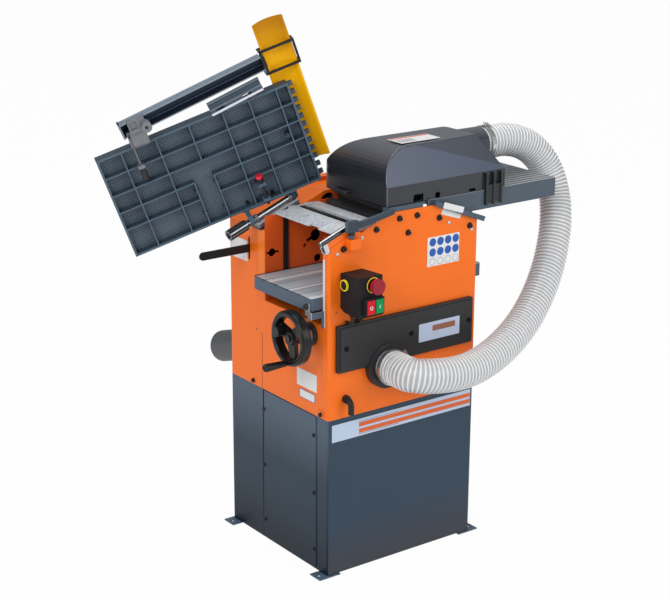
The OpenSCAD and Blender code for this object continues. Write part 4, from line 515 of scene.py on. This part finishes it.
# Chip hood
# The hood is one smooth satin moulding with painted light: its switch side is painted paler and bluer
# as lit, with a darker painted reflection on its upper part; its crown has a painted highlight, its
# infeed face has painted shade downwards and the foot of its outfeed end painted shade. A rounded
# bead, painted pale as a highlight, runs along the edge of that side.
hood_mat, coat = new_finish("hood_plastic", (0.020, 0.023, 0.031), 0.28, grain=1400, depth=0.04, mottle=0.06,
                            edge=0.004, spec=0.55)
x, z = in_axes(coat)[::2]
turned_to = face_normal(coat)
side_foot_z = 1.0402
# Painted light: the switch side is painted paler and bluer as lit.
side_face = both(coat, below(coat, turned_to["Y"], -0.9), above(coat, z, side_foot_z))
lay_over(coat, side_face, (0.060, 0.078, 0.125), 0.30)
# Painted reflection: a darker band on the upper part of the switch side.
upper_part = above(coat, maths(coat, "SUBTRACT", z, maths(coat, "MULTIPLY", x, -0.30)), 1.150)
lay_over(coat, both(coat, side_face, upper_part, 0.75), (0.030, 0.036, 0.048), 0.32)
# Painted highlight on the up-facing crown.
lay_over(coat, rising(coat, turned_to["Z"], 0.35, 1.0), (0.095, 0.100, 0.120), 0.30)
# Painted shade on the infeed face, darkening downwards.
foot = both(coat, rising(coat, z, 1.09, 0.99), 0.8)
lay_over(coat, both(coat, foot, below(coat, turned_to["X"], -0.5)), (0.004, 0.005, 0.008), 0.5)
# Painted shade at the foot of the outfeed end.
lay_over(coat, both(coat, above(coat, x, 0.2700), below(coat, z, 1.0300)), (0.006, 0.008, 0.011), 0.4)
dress(hood_mat, "chip_hood")


# A bead is a round section led along its line, closed at both ends.
def bead_tree():
    tree, given = new_tree("bead", "Bead", Line="Geometry", Sides="Int", Radius="Float", Finish="Material")
    line = node(tree, "GeometryNodeMeshToCurve", {"Mesh": given["Line"]}).outputs["Curve"]
    section = node(tree, "GeometryNodeCurvePrimitiveCircle", {
        "Resolution": given["Sides"], "Radius": given["Radius"]}).outputs["Curve"]
    tube = node(tree, "GeometryNodeCurveToMesh", {
        "Curve": line, "Profile Curve": section, "Fill Caps": True}).outputs["Mesh"]
    close_tree(tree, given, tube)
    return tree


# The bead is painted much paler than the hood, as a highlight along the edge.
bead_highlight_mat = new_finish("hood_bead_highlight", (0.13, 0.15, 0.20), 0.26, grain=1400, depth=0.03, edge=0.0, spec=0.7)[0]
shoulder_x, shoulder_z, shoulder_rx, shoulder_rz = 0.034, 1.041, 0.092, 0.096
bead_line = [(-0.058, 0.990), (-0.058, 1.015)]
for degrees in range(180, 89, -5):
    a = math.radians(degrees)
    bead_line.append((shoulder_x + shoulder_rx * math.cos(a), shoulder_z + shoulder_rz * math.sin(a)))
bead_line.append((0.090, 1.137))
side_y, lean = -0.224, 0.032 / 0.097
bead_line = [(x, side_y + lean * max(0.0, z - 1.040), z) for x, z in bead_line]
bead_mesh = swept("hood_bead_highlight", bead_tree(), bead_line, False, bead_highlight_mat, Sides=8, Radius=0.0013)
fit("hood_bead_highlight", bead_mesh, "frame", True)

# Hose
# Milky plastic hose with a stiff rib wound round it, pushed over the hood's socket and the fan
# cover's spigot and held by two steel clamps. Its ribs open on the outside of each bend.
route = [
    (0.380, -0.075, 1.078), (0.430, -0.075, 1.078), (0.473, -0.075, 1.077), (0.532, -0.077, 1.062),
    (0.584, -0.084, 1.028), (0.620, -0.098, 0.974), (0.630, -0.122, 0.905), (0.610, -0.152, 0.836),
    (0.570, -0.184, 0.768), (0.514, -0.218, 0.704), (0.446, -0.252, 0.650), (0.368, -0.286, 0.608),
    (0.284, -0.318, 0.580), (0.200, -0.344, 0.562), (0.122, -0.362, 0.554), (0.054, -0.370, 0.556),
    (-0.004, -0.368, 0.562), (-0.048, -0.356, 0.568), (-0.066, -0.334, 0.570), (-0.066, -0.296, 0.570),
    (-0.066, -0.251, 0.570)]
hose_crest, hose_root, hose_bore = 0.0463, 0.0436, 0.0422
hose_ribs, rib_steps, hose_sides, route_steps = 122, 8, 36, 24


def smooth_route(points, steps):
    out = []
    for i in range(len(points) - 1):
        p0, p1 = Vector(points[max(i - 1, 0)]), Vector(points[i])
        p2, p3 = Vector(points[i + 1]), Vector(points[min(i + 2, len(points) - 1)])
        for k in range(steps):
            t = k / steps
            out.append(0.5 * (2 * p1 + (p2 - p0) * t + (2 * p0 - 5 * p1 + 4 * p2 - p3) * t * t
                              + (3 * p1 - p0 - 3 * p2 + p3) * t ** 3))
    out.append(Vector(points[-1]))
    return out


# Points at equal steps along the line, a little wider in the bends, and the line's length.
def even_route(points, count):
    bend_share = 0.7
    run, length = [0.0], 0.0
    for k, (a, b) in enumerate(zip(points, points[1:])):
        c = points[min(k + 2, len(points) - 1)]
        bend = (b - a).angle(c - b) if (c - b).length > 1e-9 else 0.0
        run.append(run[-1] + (b - a).length + bend_share * hose_crest * bend)
        length += (b - a).length
    out, j = [], 0
    for i in range(count + 1):
        s = run[-1] * i / count
        while j < len(run) - 2 and run[j + 1] < s:
            j += 1
        t = (s - run[j]) / max(run[j + 1] - run[j], 1e-9)
        out.append(points[j].lerp(points[j + 1], min(max(t, 0.0), 1.0)))
    return out, length


# The wall is led along the middle line and swells where the rib's helix passes. At each end it turns
# in to the bore, which needs a ring only once a rib.
def hose_tree():
    rib_sharpness, end_flattening = 1.3, 0.6
    tree, given = new_tree("ribbed_hose", "Hose", Line="Geometry", Crest="Float", Root="Float", Bore="Float",
                           Steps="Int", Sides="Int", Last="Int", Finish="Material")
    number = node(tree, "GeometryNodeInputIndex").outputs[0]
    line = node(tree, "GeometryNodeMeshToCurve", {"Mesh": given["Line"]}).outputs["Curve"]
    line = keep(tree, line, ring=("INT", number),
                middle=("VECTOR", node(tree, "GeometryNodeInputPosition").outputs[0]),
                across=("VECTOR", node(tree, "GeometryNodeInputNormal").outputs["Normal"]),
                ahead=("VECTOR", node(tree, "GeometryNodeInputTangent").outputs[0]))
    circle = node(tree, "GeometryNodeCurvePrimitiveCircle", {"Resolution": given["Sides"]}).outputs["Curve"]
    circle = keep(tree, circle, side=("INT", number))
    first = vectors(tree, "CROSS_PRODUCT", line["across"], line["ahead"])
    out = spoke(tree, first, line["across"], circle["side"], given["Sides"])

    def at(radius):
        return vectors(tree, "ADD", line["middle"], scaled(tree, out, radius))

    def tube(rings, radius):
        made = node(tree, "GeometryNodeCurveToMesh", {"Curve": rings, "Profile Curve": circle["Geometry"]})
        return node(tree, "GeometryNodeSetPosition", {
            "Geometry": made.outputs["Mesh"], "Position": at(radius)}).outputs["Geometry"]

    rib_turn = maths(tree, "ADD", maths(tree, "DIVIDE", line["ring"], given["Steps"]),
                     maths(tree, "DIVIDE", circle["side"], given["Sides"]))
    past_rib = maths(tree, "SUBTRACT", maths(tree, "FRACT", rib_turn), 0.5)
    rib = maths(tree, "COSINE", maths(tree, "MULTIPLY", past_rib, 2 * math.pi))
    rib = maths(tree, "POWER", maths(tree, "MAXIMUM", rib, 0.0), rib_sharpness)
    near_end = maths(tree, "MAXIMUM", below(tree, line["ring"], given["Steps"]),
                     above(tree, line["ring"], maths(tree, "SUBTRACT", given["Last"], given["Steps"])))
    rib = both(tree, rib, maths(tree, "MULTIPLY_ADD", near_end, -end_flattening, 1.0))
    swell = both(tree, rib, maths(tree, "SUBTRACT", given["Crest"], given["Root"]))
    wall = tube(line["Geometry"], maths(tree, "ADD", given["Root"], swell))
    open_edge = below(tree, node(tree, "GeometryNodeInputMeshEdgeNeighbors").outputs[0], 1.5)
    turned_in = node(tree, "GeometryNodeExtrudeMesh", {
        "Mesh": wall, "Selection": open_edge, "Offset Scale": 0.0}, mode="EDGES").outputs
    wall = node(tree, "GeometryNodeSetPosition", {
        "Geometry": turned_in["Mesh"], "Selection": turned_in["Top"], "Position": at(given["Bore"])})
    marked = node(tree, "GeometryNodeStoreNamedAttribute", {
        "Geometry": wall.outputs["Geometry"], "Selection": maths(tree, "SUBTRACT", 1.0, turned_in["Top"]),
        "Name": "rib", "Value": rib}, data_type="FLOAT", domain="POINT").outputs["Geometry"]
    between_ribs = above(tree, maths(tree, "MODULO", line["ring"], given["Steps"]), 0.5)
    few_rings = node(tree, "GeometryNodeDeleteGeometry", {
        "Geometry": line["Geometry"], "Selection": between_ribs}, domain="POINT").outputs["Geometry"]
    bore = node(tree, "GeometryNodeFlipFaces", {"Mesh": tube(few_rings, given["Bore"])}).outputs["Mesh"]
    whole = node(tree, "GeometryNodeJoinGeometry", {0: bore})
    tree.links.new(marked, whole.inputs[0])
    last_ring = above(tree, line["ring"], maths(tree, "SUBTRACT", given["Last"], 0.5))
    end_rings = maths(tree, "MAXIMUM", below(tree, line["ring"], 0.5), last_ring)
    welded = node(tree, "GeometryNodeMergeByDistance", {
        "Geometry": whole.outputs[0], "Selection": end_rings, "Distance": 0.00001})
    close_tree(tree, given, welded.outputs["Geometry"])
    return tree


hose_mat, coat = new_finish("milky_hose", (0.95, 0.95, 0.96), 0.28, grain=300, depth=0.05, mottle=0.03,
                            edge=0.0, gloss=0.4)
rib = node(coat, "ShaderNodeAttribute", attribute_name="rib").outputs["Fac"]
lay_over(coat, maths(coat, "SUBTRACT", 1.0, rib), (0.44, 0.455, 0.47), 0.42)
skin = coat.nodes["shader"].inputs
skin["Subsurface Weight"].default_value = 0.15
skin["Subsurface Radius"].default_value = (0.01, 0.01, 0.01)
middle_line, hose_length = even_route(smooth_route(route, route_steps), hose_ribs * rib_steps)
hose_mesh = swept("ribbed_hose", hose_tree(), middle_line, False, hose_mat, Crest=hose_crest, Root=hose_root,
                  Bore=hose_bore, Steps=rib_steps, Sides=hose_sides, Last=hose_ribs * rib_steps)
hose = fit("ribbed_hose", hose_mesh, "frame", True)
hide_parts("hose")
# Both ends lie in the middle of open sockets, 37 mm from the wall. hose_path keeps every second point
# of the middle line, with its ends raised. A cord's end may be 30 mm from the object at most, so the
# line that is declared has its ends raised.
end_lift = Vector((0, 0, 0.012))
hose_path = middle_line[::2]
hose_path[0], hose_path[-1] = hose_path[0] + end_lift, hose_path[-1] + end_lift
hose_path = [tuple(point) for point in hose_path]
dress(new_finish("clamp_steel", (0.58, 0.59, 0.61), 0.26, metal=0.9, grain=700, depth=0.08, mottle=0.05)[0],
      "hose_clamps")

# Fence and guard
# The fence is a painted channel on its bracket at the raised table, with painted highlights on its
# outer face and lip edges and painted shadow inside under its flange. The cutter guard is an arched
# aluminium extrusion in yellow, with painted shade making it a little darker towards its upper end.
fence_start = (-0.100, -0.321, 0.950)
fence_skew = Matrix.Rotation(math.radians(4.0), 3, "Z")
fence_mat, coat = new_finish("fence_paint", (0.020, 0.028, 0.044), 0.30, metal=0.25, grain=700, depth=0.08,
                             mottle=0.12, patch=8.0, edge=0.001)
x, y, z = in_axes(coat, raised(fence_start), fence_skew @ raised_axes)
# Painted highlights: the outer face and the top lip are painted paler.
lay_over(coat, below(coat, z, 0.0012), (0.22, 0.27, 0.35), 0.3)
outer_wall = both(coat, below(coat, y, 0.0026), between(coat, x, -0.398, 0.001))
lay_over(coat, outer_wall, (0.25, 0.30, 0.37), 0.4)
web = both(coat, between(coat, z, 0.0300, 0.0320), between(coat, y, 0.0028, 0.0352))
lay_over(coat, web, (0.010, 0.024, 0.046), 0.35)
# Painted shadow: the web under the flange is painted nearly black.
lay_over(coat, both(coat, web, below(coat, y, 0.0085)), (0.002, 0.003, 0.005), 0.5)
# Painted highlights: thin paler lines along the inner lip and the lower lip edge.
lay_over(coat, both(coat, web, between(coat, y, 0.0085, 0.0105)), (0.17, 0.17, 0.20), 0.4)
lay_over(coat, both(coat, web, between(coat, y, 0.0290, 0.0306)), (0.16, 0.23, 0.36), 0.4)
dress(fence_mat, "fence")
guard_mat, coat = new_finish("guard_yellow", (0.98, 0.47, 0.001), 0.36, grain=700, depth=0.08, mottle=0.06,
                             edge=0.001, spec=0.15)
height = in_axes(coat)[2]
# Painted shade: the guard darkens towards its raised upper end.
lay_over(coat, rising(coat, height, 1.34, 1.44), (0.51, 0.20, 0.001))
dress(guard_mat, "bridge_guard")

# Grip, clamp rod and latch
# The depth grip is a dark chromed sleeve on the hinge rod, with a greyer end. The black rod that
# clamps the fence bracket ends in a bare steel thread, and the red latch knob has a dark pin.
grip_mat, coat = new_finish("grip_chrome", (0.030, 0.031, 0.034), 0.30, metal=0.5, grain=900, depth=0.03)
x, z = in_axes(coat, hinge, rod_axes)[::2]
sleeve = above(coat, x, -0.1615)
# Painted reflection on the sleeve: a bright highlight streak and a mid-grey band.
lay_over(coat, both(coat, sleeve, between(coat, z, 0.0050, 0.0078)), (0.62, 0.64, 0.67), 0.3)
lay_over(coat, both(coat, sleeve, between(coat, z, -0.0040, 0.0000)), (0.24, 0.25, 0.27), 0.3)
lay_over(coat, below(coat, x, -0.1625), (0.16, 0.165, 0.175), 0.3)
dress(grip_mat, "depth_grip")
rod_mat, coat = new_finish("clamp_rod", (0.02, 0.02, 0.022), 0.35, grain=900, depth=0.1)
y = in_axes(coat, raised(table_lip), raised_axes)[1]
lay_over(coat, below(coat, y, -0.2275), (0.16, 0.165, 0.18), 0.28, 0.9)
dress(rod_mat, "clamp_rod")
latch_mat, coat = new_finish("latch_red", (0.70, 0.008, 0.03), 0.24, grain=700, depth=0.04, mottle=0.04,
                             gloss=0.3)
y = in_axes(coat, raised(table_lip), raised_axes)[1]
lay_over(coat, above(coat, y, -0.0725), (0.03, 0.03, 0.033), 0.3, 0.6)
dress(latch_mat, "latch_pin")

# Switch box and buttons
# The box is matt black plastic with gloss buttons: a dimpled dark red emergency stop on a yellow
# ring, a red stop, a green start, and a mode knob with a yellow ring round a black centre.
dress(new_finish("switch_plastic", (0.016, 0.017, 0.020), 0.50, grain=1100, depth=0.18, mottle=0.1,
                 edge=0.0015, spec=0.12)[0], "switch_box")
estop_at, knob_at = (-0.167, -0.311, 0.823), (-0.21, -0.255, 0.817)
dress(new_finish("red_plastic", (0.62, 0.008, 0.018), 0.30, grain=700, depth=0.04, mottle=0.04, spec=0.2)[0],
      "stop_button")
dress(new_finish("green_plastic", (0.0, 0.27, 0.080), 0.30, grain=700, depth=0.04, mottle=0.04, spec=0.2)[0],
      "start_button")
estop_mat, coat = new_finish("stop_red", (0.72, 0.006, 0.018), 0.30, grain=700, depth=0.04, mottle=0.04,
                             spec=0.25)
x, y, z = in_axes(coat, estop_at)
cap_y, dimple_turns = -0.0190, 1500.0
cap = below(coat, y, cap_y)
lay_over(coat, cap, (0.25, 0.012, 0.026), 0.36)
wave = maths(coat, "SINE", maths(coat, "MULTIPLY", distance(coat, x, z), dimple_turns))
dimples = above(coat, wave, 0.3)
lay_over(coat, both(coat, cap, dimples, 0.6), (0.48, 0.022, 0.048), 0.36)
dress(estop_mat, "estop_button")
knob_mat, coat = new_finish("knob_ring", (0.85, 0.72, 0.02), 0.3, grain=700, depth=0.04)
y, z = in_axes(coat, knob_at)[1:]
knob_centre_r = 0.0118
lay_over(coat, below(coat, distance(coat, y, z), knob_centre_r), (0.004, 0.004, 0.005), 0.6)
dress(knob_mat, "mode_knob")
ring_mat = new_finish("ring_yellow", (0.85, 0.68, 0.01), 0.35, grain=700, depth=0.04, edge=0.0004)[0]
turned("stop_ring", [(0.0182, 0.0), (0.0205, 0.0), (0.0205, 0.0014), (0.0199, 0.0020), (0.0188, 0.0020),
                     (0.0182, 0.0014)], estop_at, (0, -1, 0), ring_mat, "frame", 48)

# Labels
# Thin vinyl sheets with rounded corners, blank or with plain bars, discs and rings as a thinner
# printed layer. Marks without a sheet are the push buttons' ring and bar and two small dark discs
# painted as the shade inside small holes.
print_t = 0.00012


def arc(cx, cy, radius, start, end, steps):
    angles = [math.radians(start + (end - start) * k / steps) for k in range(steps + 1)]
    return [(cx + radius * math.cos(a), cy + radius * math.sin(a)) for a in angles]


def bar_mark(x0, y0, x1, y1, ink):
    return [(x0, y0), (x1, y0), (x1, y1), (x0, y1)], ink


def disc_mark(cx, cy, radius, ink):
    return arc(cx, cy, radius, 0, 350, 35), ink


def ring_marks(cx, cy, outer, inner, ink, parts=24):
    turn = 360 // parts
    starts = range(0, 360, turn)
    return [(arc(cx, cy, outer, a, a + turn, 2) + arc(cx, cy, inner, a + turn, a, 2), ink) for a in starts]


# along runs from left to right on the label, up from its foot to its head.
def label(name, corner, along, up, w, h, base, marks=(), body="frame", r=0.002,
          t=0.0004):
    along, up, corner = Vector(along).normalized(), Vector(up), Vector(corner)
    up = (up - along * up.dot(along)).normalized()
    out = along.cross(up)
    mats, verts, faces, which = [base] if base else [], [], [], []

    def prism(loop, low, high, mat):
        if mat not in mats:
            mats.append(mat)
        n, b = len(loop), len(verts)
        verts.extend(corner + along * a + up * c + out * d for d in (low, high) for a, c in loop)
        sides = [tuple(range(b + n, b + 2 * n)), tuple(range(b + n - 1, b - 1, -1))]
        sides += [(b + k, b + (k + 1) % n, b + n + (k + 1) % n, b + n + k) for k in range(n)]
        faces.extend(sides)
        which.extend([mats.index(mat)] * len(sides))

    if base:
        corners = ((w - r, h - r, 0), (r, h - r, 90), (r, r, 180), (w - r, r, 270))
        prism([q for cx, cy, a in corners for q in arc(cx, cy, r, a, a + 90, 4)], 0.0, t, base)
    for loop, ink in marks:
        prism(loop, t * 0.5 if base else 0.0, t + print_t, ink)
    mesh = bpy.data.meshes.new(name)
    mesh.from_pydata(verts, [], faces)
    for mat in mats:
        mesh.materials.append(mat)
    for poly, k in zip(mesh.polygons, which):
        poly.material_index = k
    return fit(name, mesh, body, False)


def ink(name, colour, rough=0.4, mottle=0.05):
    return new_finish("label_" + name, colour, rough, grain=900, depth=0.04, mottle=mottle, edge=0.0)[0]


white_ink = ink("white", (0.77, 0.77, 0.78), 0.38, 0.03)
pale_ink = ink("pale_blue", (0.50, 0.60, 0.76), 0.38, 0.03)
orange_ink = ink("orange", (0.70, 0.125, 0.022), 0.38, 0.03)
blue_ink = ink("blue", (0.012, 0.10, 0.42), 0.38)
brown_ink = ink("brown", (0.30, 0.125, 0.07), 0.5)
dark_ink = ink("dark", (0.06, 0.065, 0.08))
grey_ink = ink("grey", (0.45, 0.46, 0.48))
sideways, feedwise, upright = (0, -1, 0), (1, 0, 0), (0, 0, 1)

label("end_label", (body_end_x, -0.091, 0.511), sideways, upright, 0.0895, 0.0475, white_ink)
label("end_label_small", (body_end_x, -0.1035, 0.479), sideways, upright, 0.0685, 0.0245, blue_ink,
      [bar_mark(0.0018, 0.0018, 0.0667, 0.0227, white_ink)])
label("lever_label", (body_end_x, 0.2235, 0.792), sideways, upright, 0.083, 0.058, white_ink)
column_x, column_pitch = 0.0175, 0.0262
columns = [column_x + column_pitch * i for i in range(4)]
discs = [disc_mark(cx, 0.0655 - 0.0275 * j, 0.0112, blue_ink) for cx in columns for j in range(2)]
rings = [part for cx in columns for part in ring_marks(cx, 0.0120, 0.0104, 0.0084, grey_ink)]
label("side_label", (0.0735, body_side_y, 0.8095), feedwise, upright, 0.1085, 0.080, white_ink, discs + rings)
label("cover_label", (0.038, -0.246, 0.611), feedwise, upright, 0.140, 0.050, pale_ink,
      [bar_mark(0.046, 0.024, 0.124, 0.040, brown_ink)] + ring_marks(0.060, 0.014, 0.0075, 0.006, grey_ink))
label("hood_label", (0.027, -0.174, 1.137), feedwise, (0.02, 1, 0), 0.131, 0.062, white_ink,
      [bar_mark(0.003, 0.050, 0.128, 0.059, orange_ink), bar_mark(0.006, 0.008, 0.060, 0.040, grey_ink)])
falling = (0.0694, 0, -0.0236)
label("rail_label", (0.1135, -0.243, 0.9665), falling, upright, 0.072, 0.0165, white_ink)
label("rail_label_low", (0.1175, body_side_y, 0.9475), falling, upright, 0.069, 0.0155, white_ink)
band_start, band_end, line_end = 0.088, 0.4715, 0.222
stripe_h, line_h = 0.0118, 0.0010
band = [bar_mark(band_start, low, band_end, low + stripe_h, orange_ink) for low in (0.0082, 0.0262)]
band += [bar_mark(band_start, low, line_end, low + line_h, dark_ink) for low in (0.0052, 0.0405)]
label("cabinet_band", (-0.2352, body_side_y, 0.3842), feedwise, upright, 0.4725, 0.0482, pale_ink, band,
      r=0.0008)
tick_foot, tick_pitch, tick_h, tick_left, tick_ends = 0.004, 0.005, 0.0005, 0.0012, (0.0056, 0.0034)
tick_heights = [tick_foot + tick_pitch * k for k in range(35)]
ticks = [bar_mark(tick_left, low, tick_ends[k % 2], low + tick_h, dark_ink)
         for k, low in enumerate(tick_heights)]
label("height_scale", (-0.2482, -0.2082, 0.699), sideways, upright, 0.0085, 0.181, white_ink, ticks, r=0.0006)
button_y, button_z = -0.326, 0.751
label("stop_mark", (-0.1945, button_y, button_z), feedwise, upright, 0.0235, 0.037, None,
      ring_marks(0.0118, 0.0175, 0.0050, 0.0034, white_ink), body="stop_button_body")
label("start_mark", (-0.1675, button_y, button_z), feedwise, upright, 0.0235, 0.037, None,
      [bar_mark(0.0108, 0.0125, 0.0128, 0.0225, white_ink)], body="start_button_body")
label("side_hole_shade", (-0.2255, body_side_y, 0.7380), feedwise, upright, 0.005, 0.005, None,
      [disc_mark(0.0025, 0.0025, 0.0022, dark_ink)])
label("end_hole_shade", (body_end_x, 0.1018, 0.6094), sideways, upright, 0.005, 0.005, None,
      [disc_mark(0.0025, 0.0025, 0.0024, dark_ink)])
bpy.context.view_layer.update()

# Studio
# Pale seamless floor that camera and reflections see as nearly white, and soft lamps above and on
# both sides, as in a catalogue picture.
floor_white, sky_for_camera, sky_for_objects, sky_less_in_gloss = 0.97, 1.00, 0.48, 0.20
floor_half = 12.0
floor_mat = bpy.data.materials.new("pale_floor")
floor_mat.use_nodes = True
tree = floor_mat.node_tree
tree.nodes.clear()
ray = node(tree, "ShaderNodeLightPath").outputs
seen_white = both(tree, maths(tree, "MAXIMUM", ray["Is Camera Ray"], ray["Is Glossy Ray"]), floor_white)
matt = node(tree, "ShaderNodeBsdfDiffuse", {"Color": (0.9, 0.9, 0.9, 1)}).outputs["BSDF"]
glow = node(tree, "ShaderNodeEmission", {"Color": (1, 1, 1, 1), "Strength": 1.0}).outputs["Emission"]
mixed = node(tree, "ShaderNodeMixShader", {"Fac": seen_white, 1: matt, 2: glow}).outputs["Shader"]
node(tree, "ShaderNodeOutputMaterial", {"Surface": mixed})
mesh = bpy.data.meshes.new("floor")
mesh.from_pydata([(a * floor_half, b * floor_half, 0) for a, b in ((-1, -1), (1, -1), (1, 1), (-1, 1))], [],
                 [(0, 1, 2, 3)])
mesh.materials.append(floor_mat)
floor = bpy.data.objects.new("floor", mesh)
scene.collection.objects.link(floor)

world = bpy.data.worlds.new("studio")
world.use_nodes = True
tree = world.node_tree
tree.nodes.clear()
ray = node(tree, "ShaderNodeLightPath").outputs
sky = maths(tree, "MULTIPLY_ADD", ray["Is Camera Ray"], sky_for_camera - sky_for_objects, sky_for_objects)
sky = maths(tree, "MULTIPLY_ADD", ray["Is Glossy Ray"], -sky_less_in_gloss, sky)
back = node(tree, "ShaderNodeBackground", {"Color": (1, 1, 1, 1), "Strength": sky}).outputs["Background"]
node(tree, "ShaderNodeOutputWorld", {"Surface": back})
scene.world = world
for name, place, aim, width, watts in (
        ("key", (-3.2, -1.6, 3.0), (0, 0, 0.8), 1.8, 62),
        ("side", (1.4, -3.6, 2.2), (0, 0, 0.7), 2.2, 46),
        ("top", (0.2, 0.6, 4.0), (0, 0, 0.9), 2.4, 50)):
    data = bpy.data.lights.new(name, "AREA")
    data.size = width
    data.energy = watts
    lamp = bpy.data.objects.new(name, data)
    scene.collection.objects.link(lamp)
    lamp.location = place
    lamp.rotation_euler = (Vector(aim) - Vector(place)).to_track_quat("-Z", "Y").to_euler()
scene.view_settings.view_transform = "Standard"

# Camera
# It stands off the near corner, where the infeed end and the switch side meet, slightly above the
# tables, with the long lens of a catalogue picture.
camera_at = (-2.5846, -3.4354, 2.0289)
yaw, pitch, roll = math.radians(53.658), math.radians(17.501), math.radians(0.247)
focal_px, picture_w_px, sensor_w = 1643.96, 670.0, 36.0
ahead = Vector((math.cos(yaw) * math.cos(pitch), math.sin(yaw) * math.cos(pitch), -math.sin(pitch)))
right = Vector((math.sin(yaw), -math.cos(yaw), 0.0))
right = right * math.cos(roll) + right.cross(ahead) * math.sin(roll)
axes = (right, right.cross(ahead), -ahead)
data = bpy.data.cameras.new("camera")
data.sensor_width = sensor_w
data.lens = focal_px / picture_w_px * sensor_w
data.clip_end = 60.0
camera = bpy.data.objects.new("camera", data)
scene.collection.objects.link(camera)
camera.matrix_world = Matrix([(*[axis[i] for axis in axes], camera_at[i]) for i in range(3)] + [(0, 0, 0, 1)])
scene.camera = camera
